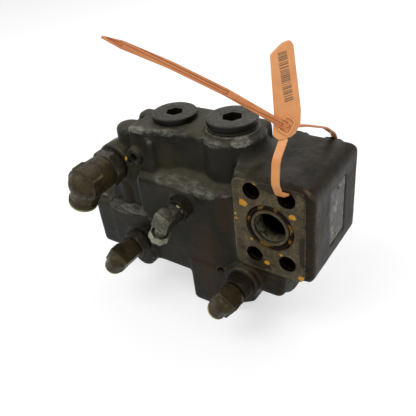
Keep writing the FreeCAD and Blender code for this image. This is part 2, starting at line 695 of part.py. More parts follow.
def plug_seal(x, land_z, thread_r):
    """Seal ring that sits in the groove under a plug's collar."""
    level = land_z - PLUG_SEAL_R - SEAL_GAP
    return o_ring((x, STAGE_Y, level), Z_AXIS, thread_r + STAGE_GROOVE / 2, PLUG_SEAL_R)


# Main stage

def seat_ring(x, shoulder_z, bore_r, throat_r, height):
    """Seat ring pressed into the bottom of a stage's bore."""
    outer = bore_r - FIT
    profile = [(throat_r, 0), (outer, 0), (outer, height), (throat_r + SEAT_CONE, height),
               (throat_r, height - SEAT_CONE)]
    return turned(profile, (x, STAGE_Y, shoulder_z), Z_AXIS)


def main_seat():
    """Seat ring at the bottom of the main bore."""
    return seat_ring(MAIN_X, MAIN_SHOULDER_Z, MAIN_BORE_R, MAIN_THROAT_R, MAIN_SEAT_H)


def poppet_outline(throat_r, seat_h, stem_r, guide_r, guide_h, top):
    """Cone, stem and guide of a poppet, as (radius, height) pairs from the nose up."""
    cone_foot = seat_h - SEAT_CONE + SEAT_CLEAR - throat_r
    nose = seat_h - 2 * SEAT_CONE
    return [(0, nose), (nose - cone_foot, nose), (stem_r, stem_r + cone_foot), (stem_r, top - guide_h - 2),
            (guide_r, top - guide_h), (guide_r, top - 1), (guide_r - 1, top)]


def main_poppet():
    """Hollow poppet that rests on the main seat and is guided in the main bore."""
    guide = MAIN_BORE_R - RUN
    top = MAIN_LAND_Z - THREAD_LENGTH - MAIN_LIFT - STOP_GAP - MAIN_SHOULDER_Z
    inner = MAIN_BORE_R - MAIN_WALL
    profile = poppet_outline(MAIN_THROAT_R, MAIN_SEAT_H, MAIN_BORE_R - MAIN_STEM_GAP, guide, MAIN_GUIDE, top)
    profile += [(inner, top), (inner, MAIN_FLOOR + 3), (2, MAIN_FLOOR), (0, MAIN_FLOOR)]
    poppet = turned(profile, (MAIN_X, STAGE_Y, MAIN_SHOULDER_Z), Z_AXIS)
    orifice = rod((MAIN_X, STAGE_Y, MAIN_SHOULDER_Z), (MAIN_X, STAGE_Y, MAIN_SHOULDER_Z + MAIN_FLOOR + 3),
                  ORIFICE_R)
    return poppet.cut(orifice)


def main_spring():
    """Spring between the main poppet and its plug."""
    bottom = MAIN_SHOULDER_Z + MAIN_FLOOR + 3 + FACE_GAP
    top = MAIN_LAND_Z - THREAD_LENGTH - FACE_GAP
    return coil_spring((MAIN_X, STAGE_Y, bottom), Z_AXIS, MAIN_SPRING_R, MAIN_SPRING_WIRE, top - bottom,
                       MAIN_SPRING_TURNS)


# Relief stage

def relief_seat():
    """Seat ring at the bottom of the relief bore."""
    return seat_ring(RELIEF_X, RELIEF_SHOULDER_Z, RELIEF_BORE_R, RELIEF_THROAT_R, RELIEF_SEAT_H)


def relief_poppet():
    """Cone poppet of the relief stage, hollow above for its spring."""
    guide = RELIEF_BORE_R - RUN
    top = shim_bottom() - RELIEF_LIFT - STOP_GAP - RELIEF_SHOULDER_Z
    inner = RELIEF_BORE_R - RELIEF_WALL
    profile = poppet_outline(RELIEF_THROAT_R, RELIEF_SEAT_H, RELIEF_BORE_R - RELIEF_STEM_GAP, guide,
                             RELIEF_GUIDE, top)
    profile += [(inner, top), (inner, RELIEF_FLOOR), (0, RELIEF_FLOOR)]
    return turned(profile, (RELIEF_X, STAGE_Y, RELIEF_SHOULDER_Z), Z_AXIS)


def shim_bottom():
    """Height of the shim's lower face."""
    return DECK_Z - THREAD_LENGTH - SHIM_THICK - SEAL_GAP


def relief_shim():
    """Disc that sets the preload, under the left-hand plug."""
    return ring((RELIEF_X, STAGE_Y, shim_bottom()), Z_AXIS, SHIM_R - 7.5, SHIM_R, SHIM_THICK)


def relief_spring():
    """Spring between the relief poppet and the shim."""
    bottom = RELIEF_SHOULDER_Z + RELIEF_FLOOR + FACE_GAP
    top = shim_bottom() - FACE_GAP
    return coil_spring((RELIEF_X, STAGE_Y, bottom), Z_AXIS, RELIEF_SPRING_R, RELIEF_SPRING_WIRE,
                       top - bottom, RELIEF_SPRING_TURNS)


# Pilot stage

def pilot_piston():
    """Piston that the pilot pressure pushes to the right."""
    radius = SPOOL_BORE_R - RUN
    groove = radius - 0.6
    profile = [(0, 0), (radius - 0.8, 0), (radius, 0.8), (radius, 5), (groove, 5), (groove, 7),
               (radius, 7), (radius, PISTON_LENGTH), (0, PISTON_LENGTH)]
    return turned(profile, (PISTON_LEFT_X, SPOOL_Y, SPOOL_Z), X_AXIS)


def pilot_spool():
    """Spool with three lands, which opens and closes the pilot drillings."""
    left = PISTON_LEFT_X + PISTON_LENGTH + FACE_GAP
    length = SPOOL_RIGHT_END_X - left
    radius = SPOOL_BORE_R - RUN
    waist = SPOOL_WAIST_R
    profile = [(0, 0), (radius, 0), (radius, 14), (waist, 17), (waist, 24), (radius, 26), (radius, 38),
               (waist, 40), (waist, length - 16), (radius, length - 13), (radius, length - 1),
               (radius - 1, length), (0, length)]
    return turned(profile, (left, SPOOL_Y, SPOOL_Z), X_AXIS)


def spring_cup():
    """Cup that carries the spool's spring, with the pin that stops the spool against its plug."""
    base = SPOOL_RIGHT_END_X + FACE_GAP
    pin_end = SPOOL_RIGHT_X - SPOOL_THREAD_LENGTH - SPOOL_TRAVEL - STOP_GAP - base
    profile = [(0, 0), (CUP_R, 0), (CUP_R, CUP_THICK), (CUP_PIN_R + 0.6, CUP_THICK),
               (CUP_PIN_R, CUP_THICK + 4), (CUP_PIN_R, pin_end - 1), (CUP_PIN_R - 1, pin_end), (0, pin_end)]
    return turned(profile, (base, SPOOL_Y, SPOOL_Z), X_AXIS)


def pilot_spring():
    """Spring between the cup and the right-hand plug."""
    left = SPOOL_RIGHT_END_X + FACE_GAP + CUP_THICK + FACE_GAP
    right = SPOOL_RIGHT_X - SPOOL_THREAD_LENGTH - FACE_GAP
    return coil_spring((left, SPOOL_Y, SPOOL_Z), X_AXIS, PILOT_SPRING_R, PILOT_SPRING_WIRE, right - left,
                       PILOT_SPRING_TURNS)


def spool_plug():
    """Collared plug that closes the right end of the spool bore."""
    shank = SPOOL_THREAD_R - THREAD_GAP
    profile = [(0, -SPOOL_THREAD_LENGTH), (shank - 1, -SPOOL_THREAD_LENGTH), (shank, 1 - SPOOL_THREAD_LENGTH),
               (shank, 0), (SPOOL_COLLAR_R, 0), (SPOOL_COLLAR_R, SPOOL_COLLAR_H - 1),
               (SPOOL_COLLAR_R - 1, SPOOL_COLLAR_H), (0, SPOOL_COLLAR_H)]
    plug = turned(profile, (SPOOL_RIGHT_X, SPOOL_Y, SPOOL_Z), X_AXIS)
    floor_x = SPOOL_RIGHT_X + SPOOL_COLLAR_H - SPOOL_SOCKET_DEPTH
    return plug.cut(hexagon(SPOOL_SOCKET_AF, SPOOL_SOCKET_DEPTH + 1, (floor_x, SPOOL_Y, SPOOL_Z), X_AXIS))


def spool_plug_seal():
    """Seal ring under the spool plug's collar."""
    section = SPOOL_GROOVE_DEPTH / 2 - SEAL_GAP / 2
    centre = (SPOOL_RIGHT_X - section - SEAL_GAP, SPOOL_Y, SPOOL_Z)
    return o_ring(centre, X_AXIS, SPOOL_THREAD_R + SPOOL_GROOVE / 2, section)


# End cover

def cover_screw_places():
    """Y and Z of the four cover screws."""
    ys = (SHELF_FRONT_Y + COVER_SCREW_INSET, COVER_REAR_Y - COVER_SCREW_INSET)
    zs = (BODY_BOTTOM_Z + COVER_SCREW_INSET, SHELF_TOP_Z - COVER_SCREW_INSET)
    return [(y, z) for y in ys for z in zs]


def cover_outline(x, thick, radius):
    """Slab with the outline of the left end."""
    return prism([(x, SHELF_FRONT_Y, BODY_BOTTOM_Z), (x, COVER_REAR_Y, BODY_BOTTOM_Z),
                  (x, COVER_REAR_Y, SHELF_TOP_Z), (x, SHELF_FRONT_Y, SHELF_TOP_Z)], [radius] * 4, (-thick, 0, 0))


def cover_gasket():
    """Flat gasket between the cover and the casting."""
    sheet = cover_outline(SHELF_LEFT_X, GASKET_THICK, COVER_ROUND)
    sheet = sheet.cut(rod((SHELF_LEFT_X + 1, SPOOL_Y, SPOOL_Z), (SHELF_LEFT_X - 2, SPOOL_Y, SPOOL_Z),
                          SPOOL_BORE_R + 1))
    for y, z in cover_screw_places():
        sheet = sheet.cut(rod((SHELF_LEFT_X + 1, y, z), (SHELF_LEFT_X - 2, y, z), COVER_SCREW_R + 0.4))
    return sheet


def end_cover():
    """Cover with a spigot that stops the pilot piston."""
    inner = SHELF_LEFT_X - GASKET_THICK
    cover = cover_outline(inner, COVER_THICK, COVER_ROUND)
    outer_edges = [e for e in cover.Edges if e.CenterOfMass.x < inner - COVER_THICK + 0.1]
    cover = cover.makeFillet(4, outer_edges)
    pad_x = inner - COVER_THICK - COVER_PAD_PROUD
    cover = cover.fuse(soft_box(pad_x, inner - CAST_EDGE, SHELF_FRONT_Y + 2, COVER_REAR_Y - 2, COVER_PAD_Z0,
                                COVER_PAD_Z1, CAST_EDGE))
    spigot_end = PISTON_LEFT_X - FACE_GAP
    cover = cover.fuse(rod((inner - 2, SPOOL_Y, SPOOL_Z), (spigot_end, SPOOL_Y, SPOOL_Z), SPOOL_BORE_R - 2.5))
    for y, z in cover_screw_places():
        cover = cover.cut(rod((inner + 1, y, z), (inner - COVER_THICK - 1, y, z), COVER_SCREW_R + 0.4))
        cover = cover.cut(rod((inner - COVER_THICK + COVER_SCREW_HEAD_H, y, z), (inner - COVER_THICK - 1, y, z),
                              COVER_SCREW_HEAD_R + 0.6))
    return cover


def cover_screws():
    """Four socket-head screws, sunk in the cover."""
    screws = []
    head_base = SHELF_LEFT_X - GASKET_THICK - COVER_THICK + COVER_SCREW_HEAD_H
    for y, z in cover_screw_places():
        shank = rod((SHELF_LEFT_X + COVER_SCREW_REACH, y, z), (head_base + 1, y, z), COVER_SCREW_R)
        head = rod((head_base, y, z), (head_base - COVER_SCREW_HEAD_H + 1, y, z), COVER_SCREW_HEAD_R)
        socket = hexagon(COVER_SCREW_AF, 3.5, (head_base - COVER_SCREW_HEAD_H + 0.5, y, z), X_AXIS)
        neck = rod((head_base + 1, y, z), (head_base, y, z), COVER_SCREW_R)
        screws.append(shank.multiFuse([neck, head]).cut(socket))
    return group(screws)


# Check ball behind the middle fitting

def ball_centre():
    """Y of the check ball's centre when it rests on its seat."""
    return CHECK_SEAT_Y - math.sqrt(BALL_R ** 2 - CHECK_SEAT_R ** 2) - FIT


def check_ball():
    """Ball that closes the small drilling behind the middle fitting."""
    return Part.makeSphere(BALL_R, Vector(MID_PORT.x, ball_centre(), MID_PORT.z))


def check_spring():
    """Light spring that holds the ball on its seat."""
    front = MID_PORT.face_y + PORT_DEPTH + FACE_GAP
    back = ball_centre() - BALL_R - FACE_GAP
    return coil_spring((MID_PORT.x, front, MID_PORT.z), Y_AXIS, CHECK_CHAMBER_R - 2, CHECK_SPRING_WIRE,
                       back - front, 5)


def blanking_screw():
    """Headless screw that closes a cross drilling in the front wall."""
    front = LOWER_FRONT_Y + BLANK_SUNK
    screw = rod((BLANK_X, front, BLANK_Z), (BLANK_X, front + BLANK_LENGTH, BLANK_Z), BLANK_R - THREAD_GAP)
    return screw.cut(hexagon(BLANK_SOCKET_AF, 4, (BLANK_X, LOWER_FRONT_Y, BLANK_Z), Y_AXIS))


# Flange seal and nameplate

def flange_seal():
    """Seal ring in the groove round the front port."""
    mean = (GROOVE_ID + GROOVE_OD) / 4
    section = (GROOVE_OD - GROOVE_ID) / 4 - RING_GAP
    section = min(section, (GROOVE_DEPTH - RING_GAP) / 2)
    return o_ring((0, GROOVE_DEPTH - section - 0.02, 0), Y_AXIS, mean, section)


def nameplate():
    """Bare plate in its shallow recess."""
    gap = 0.5
    x = BLOCK_RIGHT - PLATE_RECESS
    plate = prism([(x, PLATE_Y0 + gap, PLATE_Z0 + gap), (x, PLATE_Y1 - gap, PLATE_Z0 + gap),
                   (x, PLATE_Y1 - gap, PLATE_Z1 - gap), (x, PLATE_Y0 + gap, PLATE_Z1 - gap)],
                  [1.5] * 4, (PLATE_THICK, 0, 0))
    for z in rivet_heights():
        plate = plate.cut(rod((x - 1, (PLATE_Y0 + PLATE_Y1) / 2, z), (x + 2, (PLATE_Y0 + PLATE_Y1) / 2, z),
                              RIVET_R * 0.5 + THREAD_GAP))
    return plate


def rivet_heights():
    """Heights of the two nameplate rivets."""
    return (PLATE_Z0 + 4, PLATE_Z1 - 4)


def nameplate_rivets():
    """Two drive rivets with domed heads, on the plate."""
    rivets = []
    x = BLOCK_RIGHT - PLATE_RECESS + PLATE_THICK
    y = (PLATE_Y0 + PLATE_Y1) / 2
    for z in rivet_heights():
        ball = Part.makeSphere(RIVET_R * 1.25, Vector(x - RIVET_R * 0.75, y, z))
        head = ball.common(box(x, x + 4, y - 4, y + 4, z - 4, z + 4))
        stem = rod((x - PLATE_THICK, y, z), (x, y, z), RIVET_R * 0.5)
        rivets.append(head.fuse(stem))
    return group(rivets)


# Elbow fittings

class Elbow:
    """Right-angle fitting held in a port by a lock nut, a washer and a seal ring."""

    def __init__(self, port, nut_af, nut_h, washer_h, size, reach, drop, angle, end_r, end_length):
        self.x = port.x
        self.z = port.z
        self.face_y = port.face_y
        self.stud_r = port.stud_r
        self.bore_r = port.bore_r
        self.nut_af = nut_af
        self.nut_h = nut_h
        self.washer_h = washer_h
        self.size = size
        self.reach = reach
        self.drop = drop
        self.end_r = end_r
        self.end_length = end_length
        turn = math.radians(angle)
        self.down = Vector(-math.sin(turn), 0, -math.cos(turn))
        self.nut_y = self.face_y - washer_h
        self.neck_y = self.nut_y - nut_h
        self.corner = Vector(self.x, self.nut_y - nut_h / 2 - reach, self.z)

    def bar(self, start, direction, length, up):
        """Square forged bar with chamfered corners."""
        half = self.size / 2
        cut = self.size * 0.2
        side = direction.cross(up)
        pairs = [(half, half - cut), (half - cut, half), (cut - half, half), (-half, half - cut),
                 (-half, cut - half), (cut - half, -half), (half - cut, -half), (half, cut - half)]
        points = [start + side * a + up * b for a, b in pairs]
        return Part.Face(Part.makePolygon(points + [points[0]])).extrude(direction * length)

    def body(self):
        """Elbow body: threaded stud, forged corner and male outlet."""
        back = Vector(0, -1, 0)
        start = Vector(self.x, self.neck_y - 1.5, self.z)
        half = self.size / 2
        first = self.bar(start, back, (start - self.corner).Length + half, self.down)
        second = self.bar(self.corner - self.down * half, self.down, self.drop - self.end_length + half, back)
        forged = first.fuse(second)
        outside = self.corner + back * half - self.down * half
        bevel = (back - self.down).normalize()
        block = Part.makeBox(4 * half, 4 * half, 2 * half, Vector(-2 * half, -2 * half, 0))
        block.Placement = FreeCAD.Placement(outside - bevel * (0.45 * half), FreeCAD.Rotation(Z_AXIS, bevel))
        forged = forged.cut(block)
        shank_end = self.face_y + PORT_DEPTH
        stud = turned([(0, 0), (self.stud_r, 0), (self.stud_r, shank_end - start.y - 1),
                       (self.stud_r - 1, shank_end - start.y), (0, shank_end - start.y)],
                      (self.x, start.y, self.z), Y_AXIS)
        outlet_base = self.corner + self.down * (self.drop - self.end_length)
        lip = self.end_r * 0.12
        outlet = turned([(0, -2), (self.end_r - 2 * lip, -2), (self.end_r - 2 * lip, 1.5), (self.end_r, 1.5 + lip),
                         (self.end_r, self.end_length - 1.2), (self.end_r - 1.2, self.end_length),
                         (0, self.end_length)], tuple(outlet_base), self.down)
        bore = rod((self.x, shank_end + 1, self.z), tuple(self.corner), self.bore_r)
        run = rod(tuple(self.corner), tuple(self.corner + self.down * (self.drop + 1)), self.bore_r)
        ball = Part.makeSphere(self.bore_r, self.corner)
        return forged.multiFuse([stud, outlet]).cut([bore, run, ball])

    def lock_nut(self):
        """Hexagon lock nut with chamfered corners."""
        back = Vector(0, -1, 0)
        raw = hexagon(self.nut_af, self.nut_h, (self.x, self.nut_y, self.z), back)
        corner = self.nut_af / math.sqrt(3)
        chamfer = turned([(0, 0), (corner - 1.2, 0), (corner, 1.0), (corner, self.nut_h - 1.0),
                          (corner - 1.2, self.nut_h), (0, self.nut_h)], (self.x, self.nut_y, self.z), back)
        hole = rod((self.x, self.nut_y + 1, self.z), (self.x, self.neck_y - 1, self.z), self.stud_r + THREAD_GAP)
        return raw.common(chamfer).cut(hole)

    def washer(self):
        """Round washer between the nut and the boss."""
        back = Vector(0, -1, 0)
        return ring((self.x, self.face_y, self.z), back, self.stud_r + 2 * THREAD_GAP, self.nut_af / 2 + 0.6,
                    self.washer_h)

    def seal(self):
        """Seal ring in the port's chamfer."""
        section = PORT_CHAMFER_DEPTH / 2 - SEAL_GAP
        mean = self.stud_r + (THREAD_GAP + PORT_CHAMFER) / 2
        return o_ring((self.x, self.face_y + section + SEAL_GAP, self.z), Y_AXIS, mean, section)


ELBOWS = {
    "large": Elbow(BIG_PORT, nut_af=28.0, nut_h=9.0, washer_h=3.0, size=23.0, reach=26.5, drop=23.5,
                   angle=24.0, end_r=11.0, end_length=8.0),
    "middle": Elbow(MID_PORT, nut_af=19.0, nut_h=7.0, washer_h=2.5, size=14.5, reach=18.8, drop=21.0,
                    angle=25.0, end_r=8.0, end_length=7.0),
    "pilot": Elbow(PILOT_PORT, nut_af=22.0, nut_h=8.0, washer_h=2.5, size=19.0, reach=24.0, drop=14.0,
                   angle=36.0, end_r=8.0, end_length=6.5),
    "drain": Elbow(DRAIN_PORT, nut_af=22.0, nut_h=8.0, washer_h=4.0, size=19.0, reach=18.2, drop=15.0,
                   angle=38.0, end_r=8.0, end_length=6.5),
}


# Plastic seal tag


def rounded_path(points, radii):
    """Open path through points with an arc at each inner corner."""
    points = [Vector(*p) for p in points]
    edges = []
    last = points[0]
    for i in range(1, len(points) - 1):
        corner = points[i]
        before = (points[i - 1] - corner).normalize()
        after = (points[i + 1] - corner).normalize()
        half = before.getAngle(after) / 2
        reach = radii[i - 1] / math.tan(half)
        middle = corner + (before + after).normalize() * (radii[i - 1] / math.sin(half) - radii[i - 1])
        first = corner + before * reach
        edges.append(Part.LineSegment(last, first).toShape())
        last = corner + after * reach
        edges.append(Part.Arc(first, middle, last).toShape())
    edges.append(Part.LineSegment(last, points[-1]).toShape())
    return Part.Wire(edges)


def swept_strap(points, radii, width, thick):
    """Strap of constant section swept along a path in a plane of constant X."""
    spine = rounded_path(points, radii)
    start = Vector(*points[0])
    along = (Vector(*points[1]) - start).normalize()
    flat = along.cross(X_AXIS).normalize()
    corners = [start + X_AXIS * (width / 2 * a) + flat * (thick / 2 * b)
               for a, b in ((-1, -1), (1, -1), (1, 1), (-1, 1))]
    section = Part.makePolygon(corners + [corners[0]])
    return spine.makePipeShell([section], True, True)


def tag_frame():
    """Origin, sideways, upward and outward directions of the flag."""
    turn = math.radians(FLAG_TURN)
    tilt = math.radians(FLAG_TILT)
    side = Vector(math.cos(turn), math.sin(turn), 0)
    facing = Vector(math.sin(turn) * math.cos(tilt), -math.cos(turn) * math.cos(tilt), math.sin(tilt))
    return Vector(TAG_X, LOCK_Y, LOCK_Z), side, facing.cross(side), facing


def tag_flag():
    """Flag with the lock housing at its foot."""
    origin, side, up, facing = tag_frame()

    def at(a, b, c):
        return tuple(origin + side * a + up * b + facing * c)

    outline = [(-4.6, -8.4), (-8.0, -5.2), (-7.2, 1.5), (-6.2, 8.0), (-6.0, 43.5), (1.5, 49.5), (6.4, 50.8),
               (8.4, 47.8), (10.5, 9.0), (9.6, 0.5), (6.2, -5.2), (3.2, -7.2)]
    radii = [2, 2, 4, 4, 3, 5, 2, 2, 4, 4, 2, 2]
    flag = prism([at(a, b, -FLAG_THICK / 2) for a, b in outline], radii, tuple(facing * FLAG_THICK))
    rim = prism([at(a, b, 0.5) for a, b in ((-5.6, -1.5), (0.8, -6.6), (7.0, 2.0), (1.0, 8.0))],
                [1.5] * 4, tuple(facing * 2.4))
    inner = prism([at(a, b, 1.2) for a, b in ((-3.9, -1.2), (0.9, -4.9), (5.3, 1.9), (1.1, 6.0))],
                  [1.2] * 4, tuple(facing * 3))
    front = swept_strap([(TAG_X, -1.2, 76.5), (TAG_X, -12.5, 66.0), (TAG_X, -14.5, 50.0), (TAG_X, -9.0, 38.0),
                         (TAG_X, -SEAT_GAP, MOUTH_Z)], [10, 14, 6], STRAP_WIDTH, STRAP_THICK)
    path, across = tail_path()
    half = TAIL_HALF + LOCK_GAP
    thick = STRAP_THICK + 2 * LOCK_GAP
    room = [strap_bar(path[0] - facing * 0.5, path[1], across, half, half, thick),
            strap_bar(origin - facing * 3.2, origin + facing * 3.0, side, half, half, thick)]
    return flag.multiFuse([rim, front]).cut([inner] + room)


def strap_bar(start, end, across, half_start, half_end, thick=STRAP_THICK):
    """Straight flat length of strap between two points, which may taper."""
    flat = across.cross((end - start).normalize())
    sections = []
    for centre, half in ((start, half_start), (end, half_end)):
        corners = [centre + across * (half * a) + flat * (thick / 2 * b)
                   for a, b in ((-1, -1), (1, -1), (1, 1), (-1, 1))]
        sections.append(Part.makePolygon(corners + [corners[0]]))
    return Part.makeLoft(sections, True, True)


def tail_path():
    """Start, bowed middle, knee and tip of the strap's free end, and its crosswise direction."""
    origin, side, up, facing = tag_frame()
    start = origin + facing * 2.0
    tip = Vector(*TAIL_TIP)
    along = (tip - start).normalize()
    across = along.cross(facing).normalize()
    bow = Z_AXIS * TAIL_BOW
    rise = [(0.35, 0.85), (0.65, 0.85), (0.9, 0.3)]
    middle = [start + (tip - start) * share + bow * lift for share, lift in rise]
    return [start - along * 0.8] + middle + [tip], across


def tag_strap():
    """Strap from the rear of the bolt hole over the block, through the lock to its free end."""
    origin, side, up, facing = tag_frame()
    path = [(TAG_X, 2.4, 83.2), (TAG_X, 30.0, 71.4), (TAG_X, BLOCK_DEPTH - 20.0, BLOCK_TOP + 14.2),
            (TAG_X, BLOCK_DEPTH - 4.0, BLOCK_TOP + 2.2), (TAG_X, BLOCK_DEPTH + 1.6, MOUTH_Z),
            (TAG_X, BOLT_SEAT_Y + SEAT_GAP, MOUTH_Z)]
    rear = swept_strap(path, [40, 50, 5, 2.0], 2 * TAIL_HALF, STRAP_THICK)
    through = strap_bar(origin - facing * 3.2, origin + facing * 2.6, side, TAIL_HALF, TAIL_HALF)
    path, across = tail_path()
    tail = [strap_bar(a, b, across, TAIL_HALF, TAIL_HALF) for a, b in zip(path[:-2], path[1:-1])]
    point = strap_bar(path[-2], path[-1], across, TAIL_HALF, TAIL_TIP_HALF)
    return rear.multiFuse([through, point] + tail)


def nodes():
    """Every node of the valve by name."""
    parts = {
        "valve_body": valve_body(),
        "flange_seal": flange_seal(),
        "main_plug": bore_plug(MAIN_X, MAIN_LAND_Z, MAIN_COLLAR_R, MAIN_COLLAR_H, MAIN_THREAD_R,
                               MAIN_SOCKET_AF),
        "main_plug_seal": plug_seal(MAIN_X, MAIN_LAND_Z, MAIN_THREAD_R),
        "main_seat": main_seat(),
        "main_poppet": main_poppet(),
        "main_spring": main_spring(),
        "relief_plug": bore_plug(RELIEF_X, DECK_Z, RELIEF_COLLAR_R, RELIEF_COLLAR_H, RELIEF_THREAD_R,
                                 RELIEF_SOCKET_AF),
        "relief_plug_seal": plug_seal(RELIEF_X, DECK_Z, RELIEF_THREAD_R),
        "relief_seat": relief_seat(),
        "relief_poppet": relief_poppet(),
        "relief_spring": relief_spring(),
        "relief_shim": relief_shim(),
        "pilot_piston": pilot_piston(),
        "pilot_spool": pilot_spool(),
        "spring_cup": spring_cup(),
        "pilot_spring": pilot_spring(),
        "spool_plug": spool_plug(),
        "spool_plug_seal": spool_plug_seal(),
        "cover_gasket": cover_gasket(),
        "end_cover": end_cover(),
        "cover_screws": cover_screws(),
        "check_ball": check_ball(),
        "check_spring": check_spring(),
        "blanking_screw": blanking_screw(),
        "nameplate": nameplate(),
        "nameplate_rivets": nameplate_rivets(),
        "tag_flag": tag_flag(),
        "tag_strap": tag_strap(),
    }
    for name, elbow in ELBOWS.items():
        parts[name + "_elbow"] = elbow.body()
        parts[name + "_lock_nut"] = elbow.lock_nut()
        parts[name + "_washer"] = elbow.washer()
        parts[name + "_port_seal"] = elbow.seal()
    return parts


os.makedirs("parts", exist_ok=True)
for node, shape in nodes().items():
    shape.exportStep("parts/" + node + ".step")
    print(node, "solids", len(shape.Solids), "volume", round(shape.Volume, 1), "valid", shape.isValid())
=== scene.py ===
"""Looks of a hose rupture valve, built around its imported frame.

Everything is in metres. The origin is the centre of the front flange port, -Y points out of
that port, +X to the nameplate side and +Z up to the two bore plugs.
"""

import json
import logging
import math
from dataclasses import dataclass, field
from enum import Enum
from typing import Optional, Sequence

import bmesh
import bpy
import numpy as np
from mathutils import Matrix, Vector


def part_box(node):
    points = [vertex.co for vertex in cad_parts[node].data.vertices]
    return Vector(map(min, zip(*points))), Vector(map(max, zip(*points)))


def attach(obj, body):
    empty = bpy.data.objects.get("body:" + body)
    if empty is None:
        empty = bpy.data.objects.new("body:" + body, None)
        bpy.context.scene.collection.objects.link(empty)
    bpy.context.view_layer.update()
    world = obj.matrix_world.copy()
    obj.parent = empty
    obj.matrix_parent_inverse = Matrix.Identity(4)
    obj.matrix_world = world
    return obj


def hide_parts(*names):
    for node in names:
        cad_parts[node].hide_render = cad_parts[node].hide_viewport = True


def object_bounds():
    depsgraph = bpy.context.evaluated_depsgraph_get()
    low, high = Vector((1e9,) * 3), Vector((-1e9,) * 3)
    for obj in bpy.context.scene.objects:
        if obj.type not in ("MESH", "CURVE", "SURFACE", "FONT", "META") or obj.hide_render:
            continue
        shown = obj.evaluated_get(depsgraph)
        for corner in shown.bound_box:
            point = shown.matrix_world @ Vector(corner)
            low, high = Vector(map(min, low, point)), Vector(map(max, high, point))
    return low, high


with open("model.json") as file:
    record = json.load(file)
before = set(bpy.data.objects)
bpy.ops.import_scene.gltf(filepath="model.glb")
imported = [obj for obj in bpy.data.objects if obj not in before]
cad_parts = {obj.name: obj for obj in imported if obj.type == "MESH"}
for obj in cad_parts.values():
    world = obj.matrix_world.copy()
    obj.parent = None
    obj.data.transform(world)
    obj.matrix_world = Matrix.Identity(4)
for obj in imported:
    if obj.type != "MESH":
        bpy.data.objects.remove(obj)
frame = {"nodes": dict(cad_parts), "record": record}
CAD_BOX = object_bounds()
MOUNTS = {mount["name"]: mount for mount in frame["record"]["mounts"]}

MM = 0.001
ROOT = "root"
LOG = logging.getLogger("rupture_valve")

Colour = tuple[float, float, float]
Point = tuple[float, float, float]
Stops = Sequence[tuple[float, Colour]]


def paint(red: int, green: int, blue: int) -> Colour:
    """Turns a colour as it is seen, 0 to 255 per channel, into the linear values of a shader.

    Args:
        red: Red channel.
        green: Green channel.
        blue: Blue channel.

    Returns:
        The linear colour.
    """
    return tuple((channel / 255) ** 2.2 for channel in (red, green, blue))


class Along(Enum):
    """Directions that turned and drilled features follow."""

    X = (1.0, 0.0, 0.0)
    Y = (0.0, 1.0, 0.0)
    Z = (0.0, 0.0, 1.0)

    def vector(self) -> Vector:
        """Returns the direction as a vector."""
        return Vector(self.value)


class Outlet(Enum):
    """Forms of an elbow's free end."""

    LIPPED = "smooth collar with a rounded lip"
    CROWNED = "scalloped cap round a slimmer neck"


# Mesh work


@dataclass(frozen=True)
class Hole:
    """Round hole or filler between two points, in millimetres."""

    start: Point
    end: Point
    radius: float

    def ends(self) -> tuple[Vector, Vector]:
        """Returns both ends in metres."""
        return Vector(self.start) * MM, Vector(self.end) * MM

    def holds(self, points: np.ndarray, spare: float) -> np.ndarray:
        """Tells which points lie inside the hole.

        Args:
            points: Points in metres, one per row.
            spare: How far outside the wall still counts, in millimetres.

        Returns:
            One truth value per point.
        """
        start, end = (np.array(p) for p in self.ends())
        length = np.linalg.norm(end - start)
        along = (end - start) / length
        offset = points - start
        height = offset @ along
        radial = np.linalg.norm(offset - np.outer(height, along), axis=1)
        slack = spare * MM
        return (radial < self.radius * MM + slack) & (height > -slack) & (height < length + slack)


